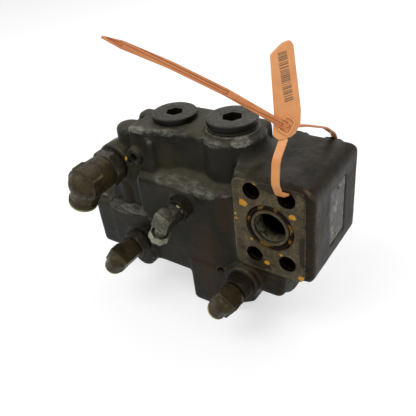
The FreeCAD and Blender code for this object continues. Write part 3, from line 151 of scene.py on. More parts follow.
class Workshop:
    """Mesh tools shared by every piece."""

    @staticmethod
    def link(name: str, mesh: bpy.types.Mesh) -> bpy.types.Object:
        """Puts a mesh in the scene under a name.

        Args:
            name: Name of the object.
            mesh: Its mesh.

        Returns:
            The linked object.
        """
        piece = bpy.data.objects.new(name, mesh)
        bpy.context.scene.collection.objects.link(piece)
        return piece

    @staticmethod
    def from_bmesh(name: str, source: bmesh.types.BMesh) -> bpy.types.Object:
        """Ends a bmesh as a linked object with outward faces.

        Args:
            name: Name of the new object.
            source: The bmesh, which is freed.

        Returns:
            The object.
        """
        bmesh.ops.recalc_face_normals(source, faces=source.faces)
        mesh = bpy.data.meshes.new(name)
        source.to_mesh(mesh)
        source.free()
        return Workshop.link(name, mesh)

    @staticmethod
    def copy_nodes(name: str, nodes: Sequence[str]) -> bpy.types.Object:
        """Joins welded copies of frame nodes into one new object.

        Args:
            name: Name of the new object.
            nodes: Names of the frame's nodes.

        Returns:
            The object.
        """
        joined = bmesh.new()
        for node in nodes:
            joined.from_mesh(frame["nodes"][node].data)
        bmesh.ops.remove_doubles(joined, verts=joined.verts, dist=0.002 * MM)
        return Workshop.from_bmesh(name, joined)

    @staticmethod
    def add_rod(target: bmesh.types.BMesh, hole: Hole, segments: int = 64) -> None:
        """Adds a closed cylinder to a bmesh.

        Args:
            target: The bmesh that gets the cylinder.
            hole: Its ends and radius.
            segments: Sides of the cylinder.
        """
        start, end = hole.ends()
        turn = (end - start).to_track_quat("Z", "Y").to_matrix().to_4x4()
        place = Matrix.Translation((start + end) / 2) @ turn
        radius = hole.radius * MM
        bmesh.ops.create_cone(target, cap_ends=True, segments=segments, radius1=radius, radius2=radius,
                              depth=(end - start).length, matrix=place)

    @staticmethod
    def add_ball(target: bmesh.types.BMesh, centre: Vector, radius: float) -> None:
        """Adds a closed ball to a bmesh, sizes in millimetres."""
        bmesh.ops.create_icosphere(target, subdivisions=4, radius=radius * MM,
                                   matrix=Matrix.Translation(centre * MM))

    @staticmethod
    def rod(name: str, hole: Hole) -> bpy.types.Object:
        """Makes one closed cylinder.

        Args:
            name: Name of the object.
            hole: Ends and radius of the cylinder.

        Returns:
            The cylinder.
        """
        made = bmesh.new()
        Workshop.add_rod(made, hole)
        return Workshop.from_bmesh(name, made)

    @staticmethod
    def block(name: str, low: Point, high: Point) -> bpy.types.Object:
        """Makes a box between two corners given in millimetres.

        Args:
            name: Name of the object.
            low: Corner with the least values.
            high: Corner with the greatest values.

        Returns:
            The box.
        """
        made = bmesh.new()
        bmesh.ops.create_cube(made, size=1.0)
        for vert in made.verts:
            vert.co = Vector([(a if c < 0 else b) * MM for a, b, c in zip(low, high, vert.co)])
        return Workshop.from_bmesh(name, made)

    @staticmethod
    def turned(name: str, profile: Sequence[tuple[float, float]], base: Point, axis: Vector,
               segments: int = 96) -> bpy.types.Object:
        """Makes a closed solid of revolution.

        Args:
            name: Name of the new object.
            profile: Pairs of radius and height in millimetres. A radius of 0 is a pole.
            base: Point of the axis at height 0, in millimetres.
            axis: Direction of rising height.
            segments: Facets round the axis.

        Returns:
            The object.
        """
        made = bmesh.new()
        place = Matrix.Translation(Vector(base) * MM) @ axis.to_track_quat("Z", "Y").to_matrix().to_4x4()
        rings = []
        for radius, height in profile:
            count = 1 if radius == 0 else segments
            steps = [2 * math.pi * i / segments for i in range(count)]
            ring = [Vector((radius * math.cos(a), radius * math.sin(a), height)) * MM for a in steps]
            rings.append([made.verts.new(place @ point) for point in ring])
        pairs = list(zip(rings, rings[1:]))
        if profile[0][0] > 0 and profile[-1][0] > 0:
            pairs.append((rings[-1], rings[0]))
        for lower, upper in pairs:
            for i in range(segments):
                corners = [lower[i % len(lower)], lower[(i + 1) % len(lower)],
                           upper[(i + 1) % len(upper)], upper[i % len(upper)]]
                unique = list(dict.fromkeys(corners))
                if len(unique) > 2:
                    made.faces.new(unique)
        return Workshop.from_bmesh(name, made)

    @staticmethod
    def prism(name: str, outline: Sequence[Vector], push: Vector) -> bpy.types.Object:
        """Makes a closed prism from a flat outline in metres.

        Args:
            name: Name of the new object.
            outline: Corners of the outline, in order.
            push: Offset from the first end face to the last.

        Returns:
            The object.
        """
        made = bmesh.new()
        first = [made.verts.new(p) for p in outline]
        last = [made.verts.new(p + push) for p in outline]
        made.faces.new(first)
        made.faces.new(last[::-1])
        count = len(outline)
        for i in range(count):
            j = (i + 1) % count
            made.faces.new([first[i], last[i], last[j], first[j]])
        return Workshop.from_bmesh(name, made)

    @staticmethod
    def settle(piece: bpy.types.Object) -> bpy.types.Object:
        """Replaces an object's mesh by its modified one and drops the modifiers.

        Args:
            piece: The mesh object.

        Returns:
            The same object.
        """
        graph = bpy.context.evaluated_depsgraph_get()
        mesh = bpy.data.meshes.new_from_object(piece.evaluated_get(graph), preserve_all_data_layers=True,
                                               depsgraph=graph)
        piece.modifiers.clear()
        stale = piece.data
        piece.data = mesh
        bpy.data.meshes.remove(stale)
        return piece

    @staticmethod
    def remesh(piece: bpy.types.Object, voxel: float, rounds: int, waves: float = 0.0,
               wave_size: float = 12.0) -> bpy.types.Object:
        """Rebuilds a shape from voxels and rounds it as a casting or forging is rounded.

        Args:
            piece: The object to rebuild.
            voxel: Voxel size in millimetres.
            rounds: Smoothing rounds.
            waves: Depth of the surface's slow waves in millimetres.
            wave_size: Size of those waves in millimetres.

        Returns:
            The same object.
        """
        cells = piece.modifiers.new("cells", "REMESH")
        cells.mode = "VOXEL"
        cells.voxel_size = voxel * MM
        soften = piece.modifiers.new("soften", "SMOOTH")
        soften.factor = 0.5
        soften.iterations = rounds
        if waves:
            texture = bpy.data.textures.new(piece.name + "_waves", "CLOUDS")
            texture.noise_scale = wave_size * MM
            texture.noise_depth = 2
            ripple = piece.modifiers.new("ripple", "DISPLACE")
            ripple.texture = texture
            ripple.strength = waves * MM
            ripple.mid_level = 0.65
        return Workshop.settle(piece)

    @staticmethod
    def combine(piece: bpy.types.Object, other: bpy.types.Object, operation: str = "DIFFERENCE"
                ) -> bpy.types.Object:
        """Cuts, joins or intersects two closed solids and removes the second.

        Args:
            piece: The solid that is kept.
            other: The solid that works on it.
            operation: DIFFERENCE, UNION or INTERSECT.

        Returns:
            The kept solid.
        """
        step = piece.modifiers.new("step", "BOOLEAN")
        step.operation = operation
        step.solver = "MANIFOLD"
        step.object = other
        bpy.context.view_layer.update()
        Workshop.settle(piece)
        bpy.data.objects.remove(other)
        return piece

    @staticmethod
    def union(pieces: Sequence[bpy.types.Object]) -> bpy.types.Object:
        """Joins closed solids into the first of them.

        Args:
            pieces: The solids. All but the first are removed.

        Returns:
            The first solid.
        """
        first = pieces[0]
        for other in pieces[1:]:
            Workshop.combine(first, other, "UNION")
        return first

    @staticmethod
    def twin(piece: bpy.types.Object) -> bpy.types.Object:
        """Copies a piece with a mesh of its own.

        Args:
            piece: The object to copy.

        Returns:
            The linked copy.
        """
        copy = piece.copy()
        copy.data = piece.data.copy()
        bpy.context.scene.collection.objects.link(copy)
        return copy

    @staticmethod
    def bevel(piece: bpy.types.Object, width: float, angle: float) -> bpy.types.Object:
        """Rounds edges sharper than an angle in degrees by a width in millimetres.

        Args:
            piece: The mesh object.
            width: Width of the rounding in millimetres.
            angle: Least angle of a rounded edge in degrees.

        Returns:
            The same object.
        """
        edge = piece.modifiers.new("edge", "BEVEL")
        edge.width = width * MM
        edge.segments = 2
        edge.limit_method = "ANGLE"
        edge.angle_limit = math.radians(angle)
        edge.use_clamp_overlap = True
        return Workshop.settle(piece)

    @staticmethod
    def shade(piece: bpy.types.Object, angle: float = 32.0) -> bpy.types.Object:
        """Shades a mesh smooth except along edges sharper than an angle in degrees.

        Args:
            piece: The mesh object.
            angle: Least angle of a sharp edge in degrees.

        Returns:
            The same object.
        """
        piece.data.shade_smooth()
        piece.data.set_sharp_from_angle(angle=math.radians(angle))
        return piece

    @staticmethod
    def finish_by_place(piece: bpy.types.Object,
                        layers: Sequence[tuple[bpy.types.Material, Sequence[Hole]]]) -> None:
        """Gives each face the last finish whose holes it lies in, or else the first finish.

        Args:
            piece: The object.
            layers: Pairs of finish and holes. The first pair's holes aren't read.
        """
        mesh = piece.data
        mesh.materials.clear()
        centres = np.empty(len(mesh.polygons) * 3, np.float32)
        mesh.polygons.foreach_get("center", centres)
        centres = centres.reshape(-1, 3).astype(float)
        chosen = np.zeros(len(centres), np.int32)
        for index, (finish, holes) in enumerate(layers):
            mesh.materials.append(finish)
            if index:
                for hole in holes:
                    chosen[hole.holds(centres, 0.06)] = index
        mesh.polygons.foreach_set("material_index", chosen)

    @staticmethod
    def places(mesh: bpy.types.Mesh) -> np.ndarray:
        """Reads a mesh's points.

        Args:
            mesh: The mesh.

        Returns:
            One row for each point, in metres.
        """
        flat = np.empty(len(mesh.vertices) * 3, np.float32)
        mesh.vertices.foreach_get("co", flat)
        return flat.reshape(-1, 3).astype(float)

    @staticmethod
    def mark_edges(piece: bpy.types.Object, rounds: int) -> None:
        """Stores how far each point stands out of its smoothed surroundings, as attribute edge.

        The measure is in millimetres and negative in corners.

        Args:
            piece: The object whose mesh gets the attribute.
            rounds: Smoothing rounds, which set how wide the surroundings are.
        """
        soften = piece.modifiers.new("soften", "SMOOTH")
        soften.factor = 0.5
        soften.iterations = rounds
        graph = bpy.context.evaluated_depsgraph_get()
        smooth = Workshop.places(piece.evaluated_get(graph).data)
        piece.modifiers.remove(soften)
        mesh = piece.data
        normals = np.empty(len(mesh.vertices) * 3, np.float32)
        mesh.vertex_normals.foreach_get("vector", normals)
        stands = ((Workshop.places(mesh) - smooth) * normals.reshape(-1, 3)).sum(axis=1) / MM
        layer = mesh.attributes.new("edge", "FLOAT", "POINT")
        layer.data.foreach_set("value", stands.astype(np.float32))


# Shader work


class Bench:
    """Wires the nodes of one material."""

    def __init__(self, name: str) -> None:
        """Starts a material with an empty surface shader.

        Args:
            name: Name of the material.
        """
        self.material = bpy.data.materials.new(name)
        self.material.use_nodes = True
        self.tree = self.material.node_tree
        self.tree.nodes.clear()
        self.surface = self.tree.nodes.new("ShaderNodeBsdfPrincipled")
        output = self.tree.nodes.new("ShaderNodeOutputMaterial")
        self.tree.links.new(self.surface.outputs[0], output.inputs[0])
        self.place = self.tree.nodes.new("ShaderNodeTexCoord").outputs["Object"]

    def node(self, kind: str, **settings: object) -> bpy.types.Node:
        """Adds a node and sets its properties.

        Args:
            kind: Node type without its prefix.
            **settings: Values of its properties.

        Returns:
            The node.
        """
        made = self.tree.nodes.new("ShaderNode" + kind)
        for key, value in settings.items():
            setattr(made, key, value)
        return made

    def feed(self, socket: bpy.types.NodeSocket, value: object) -> None:
        """Links a socket to an input, or sets a plain value on it.

        Args:
            socket: The input.
            value: A socket to link, a number or a colour.
        """
        if isinstance(value, bpy.types.NodeSocket):
            self.tree.links.new(value, socket)
        elif isinstance(value, tuple) and len(value) == 3 and socket.type == "RGBA":
            socket.default_value = (*value, 1.0)
        else:
            socket.default_value = value

    def noise(self, size: float, detail: float = 4.0, rough: float = 0.55, warp: float = 0.0,
              stretch: Optional[Point] = None) -> bpy.types.NodeSocket:
        """Adds noise whose features are about a size in millimetres.

        Args:
            size: Feature size in millimetres.
            detail: Octaves.
            rough: Strength of the finer octaves.
            warp: Distortion.
            stretch: Factors on the three axes before the noise is read.

        Returns:
            The factor, 0 to 1.
        """
        made = self.node("TexNoise")
        source = self.place
        if stretch:
            scale = self.node("VectorMath", operation="MULTIPLY")
            self.feed(scale.inputs[0], source)
            scale.inputs[1].default_value = stretch
            source = scale.outputs[0]
        self.feed(made.inputs["Vector"], source)
        made.inputs["Scale"].default_value = 1.0 / (size * MM)
        made.inputs["Detail"].default_value = detail
        made.inputs["Roughness"].default_value = rough
        made.inputs["Distortion"].default_value = warp
        return made.outputs["Fac"]

    def math(self, operation: str, first: object, second: object) -> bpy.types.NodeSocket:
        """Adds one sum on two values.

        Args:
            operation: Name of the sum.
            first: First value.
            second: Second value.

        Returns:
            The result.
        """
        made = self.node("Math", operation=operation)
        self.feed(made.inputs[0], first)
        self.feed(made.inputs[1], second)
        return made.outputs[0]

    def span(self, value: bpy.types.NodeSocket, low: float, high: float, start: float = 0.0, end: float = 1.0
             ) -> bpy.types.NodeSocket:
        """Maps a range of a value to another range, with soft clamped ends.

        Args:
            value: The value to map.
            low: Where the range starts.
            high: Where the range ends.
            start: Result at its start.
            end: Result at its end.

        Returns:
            The mapped value.
        """
        made = self.node("MapRange", interpolation_type="SMOOTHSTEP", clamp=True)
        self.feed(made.inputs["Value"], value)
        made.inputs["From Min"].default_value = low
        made.inputs["From Max"].default_value = high
        made.inputs["To Min"].default_value = start
        made.inputs["To Max"].default_value = end
        return made.outputs[0]

    def ramp(self, value: bpy.types.NodeSocket, stops: Stops) -> bpy.types.NodeSocket:
        """Turns a value into a colour through a list of stops.

        Args:
            value: The value, 0 to 1.
            stops: Pairs of place and colour, in order.

        Returns:
            The colour.
        """
        made = self.node("ValToRGB")
        self.feed(made.inputs[0], value)
        elements = made.color_ramp.elements
        while len(elements) < len(stops):
            elements.new(0.5)
        for element, (at, colour) in zip(elements, stops):
            element.position = at
            element.color = (*colour, 1.0)
        return made.outputs[0]

    def mix(self, mask: object, under: object, over: object) -> bpy.types.NodeSocket:
        """Lays one colour over another through a mask.

        Args:
            mask: How much of the upper colour shows, 0 to 1.
            under: Lower colour.
            over: Upper colour.

        Returns:
            The mixed colour.
        """
        made = self.node("Mix", data_type="RGBA")
        self.feed(made.inputs[0], mask)
        self.feed(made.inputs[6], under)
        self.feed(made.inputs[7], over)
        return made.outputs[2]

    def veil(self, mask: object, share: float, under: object, over: object) -> bpy.types.NodeSocket:
        """Lays one colour over another through a share of a mask."""
        return self.mix(self.math("MULTIPLY", mask, share), under, over)

    def edge(self) -> bpy.types.NodeSocket:
        """Returns the stored attribute that is high on edges and negative in corners."""
        return self.node("Attribute", attribute_name="edge").outputs["Fac"]

    def up(self) -> bpy.types.NodeSocket:
        """Reads how far the surface faces upward.

        Returns:
            The height of the normal, -1 to 1.
        """
        split = self.node("SeparateXYZ")
        self.feed(split.inputs[0], self.node("NewGeometry").outputs["Normal"])
        return split.outputs[2]

    def along(self, axis: int) -> bpy.types.NodeSocket:
        """Reads the place along one axis.

        Args:
            axis: 0 to 2 for X to Z.

        Returns:
            The place in metres.
        """
        split = self.node("SeparateXYZ")
        self.feed(split.inputs[0], self.place)
        return split.outputs[axis]

    def patch(self, centre: Point, radius: float, ragged: float = 0.35, squash: Point = (1.0, 1.0, 1.0)
              ) -> bpy.types.NodeSocket:
        """Masks a ragged patch round a point.

        Args:
            centre: Middle of the patch in millimetres.
            radius: Its radius in millimetres.
            ragged: How much noise moves its rim, as a share of the radius.
            squash: Factors that narrow the patch along the axes.

        Returns:
            A mask, 1 inside and 0 outside.
        """
        shift = self.node("VectorMath", operation="SUBTRACT")
        self.feed(shift.inputs[0], self.place)
        shift.inputs[1].default_value = [c * MM for c in centre]
        scale = self.node("VectorMath", operation="MULTIPLY")
        self.feed(scale.inputs[0], shift.outputs[0])
        scale.inputs[1].default_value = squash
        length = self.node("VectorMath", operation="LENGTH")
        self.feed(length.inputs[0], scale.outputs[0])
        noise = self.noise(radius * 0.6, 3.0)
        bent = self.math("MULTIPLY_ADD", noise, 2 * ragged * radius * MM)
        bent.node.inputs[2].default_value = -ragged * radius * MM
        total = self.math("ADD", length.outputs["Value"], bent)
        return self.span(total, radius * 0.8 * MM, radius * 1.1 * MM, 1.0, 0.0)

    def bump(self, height: object, depth: float, below: Optional[bpy.types.NodeSocket] = None
             ) -> bpy.types.NodeSocket:
        """Adds relief of a depth in millimetres, on top of another relief.

        Args:
            height: The relief, 0 to 1.
            depth: Its depth in millimetres.
            below: The normal of the relief under it.

        Returns:
            The bent normal.
        """
        made = self.node("Bump")
        made.inputs["Strength"].default_value = 1.0
        made.inputs["Distance"].default_value = depth * MM
        self.feed(made.inputs["Height"], height)
        if below is not None:
            self.feed(made.inputs["Normal"], below)
        return made.outputs[0]

    def finish(self, colour: object, rough: object, metal: object, normal: bpy.types.NodeSocket,
               specular: float = 0.5) -> bpy.types.Material:
        """Sets the surface.

        Args:
            colour: Base colour.
            rough: Roughness.
            metal: Share of metal.
            normal: The bent normal.
            specular: Strength of the reflection.

        Returns:
            The material.
        """
        self.feed(self.surface.inputs["Base Color"], colour)
        self.feed(self.surface.inputs["Roughness"], rough)
        self.feed(self.surface.inputs["Metallic"], metal)
        self.surface.inputs["Specular IOR Level"].default_value = specular
        self.feed(self.surface.inputs["Normal"], normal)
        return self.material


@dataclass(frozen=True)
class CastPaint:
    """Worn dark paint over a rough casting, with rust, oil, bare edges and painted highlights."""

    paint_dark: Colour = paint(23, 22, 17)
    paint_light: Colour = paint(43, 42, 36)
    bare: Colour = paint(124, 123, 115)
    dust: Colour = paint(71, 67, 54)
    rust: Colour = paint(43, 34, 23)
    oil: Colour = paint(47, 36, 23)
    olive: Colour = paint(50, 46, 31)
    ochre: Colour = paint(178, 130, 48)
    block_light: Colour = paint(40, 33, 22)
    block_dark: Colour = paint(20, 16, 10)
    block_worn: Colour = paint(96, 85, 68)
    block_left: float = -22.0
    block_fade: float = 8.0
    specular: float = 0.1
    stains: tuple[tuple[Point, float, Point], ...] = (
        ((-60.0, -3.0, -46.0), 24.0, (1.6, 0.6, 0.55)), ((-38.0, 0.0, 2.0), 11.0, (1.3, 0.6, 0.6)),
        ((-140.0, -1.0, 2.0), 12.0, (1.2, 0.6, 0.8)))
    # Scuffs: partly rubbed paint, partly painted highlights on the ledge, deck edge, shelf and right edge.
    scuffs_and_highlights: tuple[tuple[Point, float, Point, float], ...] = (
        ((-82.0, 1.0, 18.0), 25.0, (1.0, 2.9, 5.0), 0.72), ((-57.0, 0.0, 15.0), 10.0, (0.9, 1.5, 2.4), 0.72),
        ((-112.0, 7.5, 55.0), 13.0, (0.8, 2.6, 3.0), 0.7), ((-86.0, 11.0, 55.0), 14.0, (0.7, 2.8, 3.4), 0.75),
        ((-60.0, 8.0, 54.5), 14.0, (0.7, 1.9, 3.0), 0.7), ((-145.0, -2.0, -22.0), 18.0, (1.0, 1.0, 3.4), 0.9),
        ((32.4, 9.0, 0.0), 9.0, (1.6, 1.8, 0.28), 0.9))
    # Painted highlights on the bosses, column and shelf, partly polished wear.
    polish_and_highlights: tuple[tuple[Point, float, Point], ...] = (
        ((-29.0, 17.0, 56.0), 7.0, (0.8, 0.8, 1.6)), ((-20.5, 8.0, 53.0), 6.5, (0.7, 0.8, 1.8)),
        ((-156.0, 25.0, 39.0), 12.0, (0.9, 0.5, 0.9)), ((-16.0, 7.0, 47.0), 6.0, (0.7, 0.8, 1.8)),
        ((-133.0, 0.0, -21.0), 12.0, (0.6, 1.2, 3.6)), ((-120.0, 5.0, 55.0), 6.0, (0.5, 1.4, 2.0)))
    sheltered: tuple[tuple[Point, float], ...] = (
        ((-122.3, -0.6, 32.3), 11.0), ((-25.5, -4.8, -60.5), 21.0), ((-45.5, -2.0, -56.5), 8.0),
        ((-75.0, -4.2, 1.5), 14.0), ((-146.0, -1.0, 21.0), 22.0))
    specks: tuple[tuple[Point, float, Point], ...] = (((-131.0, -1.2, 29.2), 2.0, (1.7, 1.0, 0.8)),)

    def wear_and_highlight_mask(self, b: Bench, middle: bpy.types.NodeSocket, grain: bpy.types.NodeSocket
                  ) -> bpy.types.NodeSocket:
        """Masks where the paint is rubbed through on edges, and hazy patches of worn paint and painted
        highlights.

        Args:
            b: The material's bench.
            middle: Noise of middle size.
            grain: Fine noise.

        Returns:
            The mask.
        """
        rubbed = b.math("MULTIPLY", b.span(b.edge(), 0.05, 0.24), b.span(middle, 0.42, 0.58))
        for centre, radius in self.sheltered:
            shelter = b.math("MULTIPLY", b.patch(centre, radius), 0.8)
            rubbed = b.math("MULTIPLY", rubbed, b.math("SUBTRACT", 1.0, shelter))
        haze = b.math("MULTIPLY", b.span(b.noise(2.6, 6.0, 0.72, 0.0, (0.3, 1.0, 1.7)), 0.36, 0.64),
                      b.span(middle, 0.3, 0.58, 0.2, 1.0))
        haze = b.math("MULTIPLY", haze, b.span(b.edge(), -0.06, 0.1, 0.4, 1.0))
        # Scuff patches: worn paint and painted highlights.
        for centre, radius, squash, strength in self.scuffs_and_highlights:
            scuff_and_highlight = b.math("MULTIPLY", b.patch(centre, radius, 0.5, squash), haze)
            rubbed = b.math("MAXIMUM", rubbed, b.math("MULTIPLY", scuff_and_highlight, strength))
        # Painted highlight patches.
        for centre, radius, squash in self.polish_and_highlights:
            shiny = b.math("MULTIPLY", b.patch(centre, radius, 0.4, squash),
                           b.span(haze, 0.0, 0.5, 0.3, 0.85))
            rubbed = b.math("MAXIMUM", rubbed, shiny)
        return b.math("MULTIPLY", rubbed, b.span(grain, 0.32, 0.55, 0.4, 1.0))

    def make(self) -> bpy.types.Material:
        """Builds the material.

        Returns:
            The material.
        """
        b = Bench("cast_paint")
        mottle = b.noise(26.0, 5.0, 0.6)
        middle = b.noise(7.0, 5.0, 0.62)
        grain = b.noise(1.3, 4.0, 0.6)
        edge = b.edge()
        colour = b.ramp(mottle, [(0.3, self.paint_dark), (0.7, self.paint_light)])
        olive = b.span(b.noise(34.0, 3.0, 0.5), 0.45, 0.7, 0.0, 0.7)
        colour = b.mix(olive, colour, self.olive)
        on_block = b.span(b.along(0), self.block_left * MM, (self.block_left + self.block_fade) * MM)
        facing_up = b.span(b.up(), 0.3, 0.95)
        dusty = b.math("MULTIPLY", facing_up, b.span(middle, 0.3, 0.75, 0.3, 0.85))
        colour = b.mix(dusty, colour, self.dust)
        smears = b.noise(9.0, 5.0, 0.65, 0.6, (1.0, 0.55, 1.0))
        colour = b.mix(on_block, colour, b.ramp(smears, [(0.36, self.block_dark), (0.62, self.block_light)]))
        flakes = b.span(b.noise(13.0, 5.0, 0.65, 0.4), 0.46, 0.62, 0.0, 0.7)
        rusty = b.math("MAXIMUM", b.span(edge, 0.0, 0.16), flakes)
        rusty = b.math("MULTIPLY", on_block, b.math("MULTIPLY", rusty, b.span(middle, 0.34, 0.56)))
        colour = b.veil(rusty, 0.8, colour, self.rust)
        for centre, radius, squash in self.stains:
            stain = b.patch(centre, radius, 0.5, squash)
            colour = b.veil(stain, 0.75, colour, self.oil)
        corner = b.span(edge, -0.02, -0.25)
        colour = b.veil(corner, 0.7, colour, self.oil)
        # Worn paint and painted highlights lighten towards bare metal.
        worn = self.wear_and_highlight_mask(b, middle, grain)
        colour = b.veil(worn, 0.9, colour, b.mix(on_block, self.bare, self.block_worn))
        for centre, radius, squash in self.specks:
            colour = b.mix(b.patch(centre, radius, 0.4, squash), colour, self.ochre)
        rough = b.math("ADD", b.span(mottle, 0.3, 0.7, 0.38, 0.52), b.math("MULTIPLY", dusty, 0.15))
        relief = b.bump(grain, 0.2, b.bump(middle, 0.5))
        return b.finish(colour, rough, b.math("MULTIPLY", worn, 0.4), relief, specular=self.specular)


@dataclass(frozen=True)
class PadMetal:
    """Bare pitted flange face with rust, specks of ochre paint and a painted highlight along its left edges.
    """

    light: Colour = paint(98, 89, 67)
    dark: Colour = paint(48, 42, 30)
    pit: Colour = paint(25, 20, 14)
    rust: Colour = paint(50, 33, 21)
    ochre: Colour = paint(186, 132, 46)
    rim: Colour = paint(122, 113, 88)
    # x where the painted highlight of the left edges gives way to rust on the right edges.
    rim_end: tuple[float, float] = (-24.0, -14.0)
    stains: tuple[tuple[Point, float, Point], ...] = (
        ((26.5, 0.0, -14.0), 11.0, (3.2, 1.0, 0.7)), ((4.0, 0.0, 35.0), 7.0, (0.5, 1.0, 1.6)),
        ((-10.0, 0.0, -36.0), 7.0, (0.6, 1.0, 1.2)))
    specks: tuple[tuple[float, float, float], ...] = ()

    def make(self) -> bpy.types.Material:
        """Builds the material.

        Returns:
            The material.
        """
        b = Bench("pad_metal")
        broad = b.noise(11.0, 5.0, 0.65)
        fine = b.noise(1.3, 5.0, 0.7)
        strokes = b.noise(3.6, 5.0, 0.65, 0.3, (1.0, 1.0, 2.2))
        colour = b.ramp(broad, [(0.34, self.dark), (0.66, self.light)])
        streaks = b.span(strokes, 0.42, 0.62, 0.0, 0.55)
        colour = b.mix(streaks, colour, self.dark)
        scores = b.span(b.noise(1.7, 4.0, 0.6, 0.2, (2.4, 1.0, 1.0)), 0.55, 0.7, 0.0, 0.6)
        colour = b.mix(scores, colour, self.rim)
        pits = b.math("MULTIPLY", b.span(fine, 0.42, 0.32), b.span(broad, 0.6, 0.4, 0.3, 1.0))
        colour = b.veil(pits, 0.7, colour, self.pit)
        edge = b.span(b.edge(), 0.015, 0.12)
        right = b.span(b.along(0), self.rim_end[0] * MM, self.rim_end[1] * MM)
        flakes = b.span(b.noise(14.0, 4.0, 0.6), 0.5, 0.68, 0.0, 0.6)
        rust = b.math("MAXIMUM", flakes, b.math("MULTIPLY", edge, right))
        colour = b.veil(rust, 0.85, colour, self.rust)
        for centre, radius, squash in self.stains:
            mask = b.patch(centre, radius, 0.5, squash)
            colour = b.veil(mask, 0.8, colour, self.pit)
        # Painted highlight: a lighter rim along the left edges.
        left = b.math("SUBTRACT", 1.0, right)
        rim = b.math("MULTIPLY", b.math("MULTIPLY", edge, left), b.span(fine, 0.4, 0.6))
        rim = b.math("MULTIPLY", rim, b.span(strokes, 0.42, 0.56, 0.25, 1.0))
        colour = b.veil(rim, 0.8, colour, self.rim)
        for x, z, radius in self.specks:
            mask = b.patch((x, 0.0, z), radius, 0.6, (1.0, 0.3, 1.3))
            colour = b.mix(b.math("MULTIPLY", mask, b.span(fine, 0.3, 0.45)), colour, self.ochre)
        rough = b.span(broad, 0.3, 0.7, 0.42, 0.6)
        relief = b.bump(fine, 0.22, b.bump(strokes, 0.3))
        return b.finish(colour, rough, 0.1, relief, specular=0.16)


@dataclass(frozen=True)
class WornSteel:
    """Steel with stains, worn bright edges and dark corners, for plugs, fittings, nuts and holes.

    The side tone, painted shade, takes over on upright walls, and the depth tone, painted shade, between two
    depths from the flange face, given in millimetres.
    """

    name: str
    low: Colour
    high: Colour
    stain: Colour
    bright: Colour
    metal: float = 0.6
    rough: float = 0.42
    stain_share: float = 0.5
    grain_depth: float = 0.12
    edge_reach: float = 0.2
    specular: float = 0.16
    side: Optional[Colour] = None
    waves: float = 0.3
    deep: Optional[tuple[float, float]] = None
    depth_shade: Colour = paint(5, 5, 4)
    glints: tuple[tuple[Point, float, Point], ...] = ()
    glint: Colour = paint(240, 238, 200)

    def make(self) -> bpy.types.Material:
        """Builds the material.

        Returns:
            The material.
        """
        b = Bench(self.name)
        broad = b.noise(10.0, 5.0, 0.62)
        middle = b.noise(3.2, 5.0, 0.65)
        grain = b.noise(0.7, 4.0, 0.6)
        colour = b.ramp(broad, [(0.3, self.low), (0.7, self.high)])
        # Painted shade: the side tone darkens upright walls.
        if self.side:
            colour = b.mix(b.span(b.up(), 0.85, 0.3), colour, self.side)
        stained = b.span(middle, 0.62 - 0.25 * self.stain_share, 0.72)
        colour = b.veil(stained, 0.8, colour, self.stain)
        edge = b.edge()
        corner = b.span(edge, -0.02, -self.edge_reach)
        colour = b.veil(corner, 0.7, colour, self.stain)
        worn = b.math("MULTIPLY", b.span(edge, 0.02, self.edge_reach), b.span(middle, 0.35, 0.55))
        colour = b.mix(worn, colour, self.bright)
        for centre, radius, squash in self.glints:
            shine = b.math("MULTIPLY", b.patch(centre, radius, 0.3, squash),
                           b.span(grain, 0.3, 0.6, 0.5, 1.0))
            colour = b.mix(shine, colour, self.glint)
        # Painted shade: darkens towards the depth tone deeper behind the flange face.
        if self.deep:
            colour = b.mix(b.span(b.along(1), self.deep[0] * MM, self.deep[1] * MM), colour, self.depth_shade)
        rough = b.math("ADD", b.span(middle, 0.3, 0.7, self.rough - 0.08, self.rough + 0.14),
                       b.math("MULTIPLY", stained, 0.12))
        metal = b.math("SUBTRACT", self.metal, b.math("MULTIPLY", stained, self.metal * 0.6))
        relief = b.bump(grain, self.grain_depth, b.bump(middle, self.waves))
        return b.finish(colour, rough, metal, relief, specular=self.specular)


@dataclass(frozen=True)
class GroundSteel:
    """Clean machined or ground steel with fine turning marks."""

    name: str
    tone: Colour
    rough: float = 0.25

    def make(self) -> bpy.types.Material:
        """Builds the material.

        Returns:
            The material.
        """
        b = Bench(self.name)
        marks = b.noise(2.0, 4.0, 0.5, 0.0, (1.0, 1.0, 9.0))
        haze = b.noise(6.0, 4.0)
        dark = tuple(0.6 * c for c in self.tone)
        colour = b.ramp(haze, [(0.3, dark), (0.75, self.tone)])
        rough = b.span(marks, 0.3, 0.7, self.rough, self.rough + 0.2)
        return b.finish(colour, rough, 0.9, b.bump(marks, 0.05))


@dataclass(frozen=True)
class SealRubber:
    """Matt black rubber with a little dust."""

    tone: Colour = paint(24, 23, 22)
    dust: Colour = paint(52, 46, 38)

    def make(self) -> bpy.types.Material:
        """Builds the material.

        Returns:
            The material.
        """
        b = Bench("seal_rubber")
        haze = b.noise(3.0, 4.0)
        colour = b.ramp(haze, [(0.4, self.tone), (0.8, self.dust)])
        return b.finish(colour, b.span(haze, 0.3, 0.7, 0.5, 0.75), 0.0, b.bump(haze, 0.06))


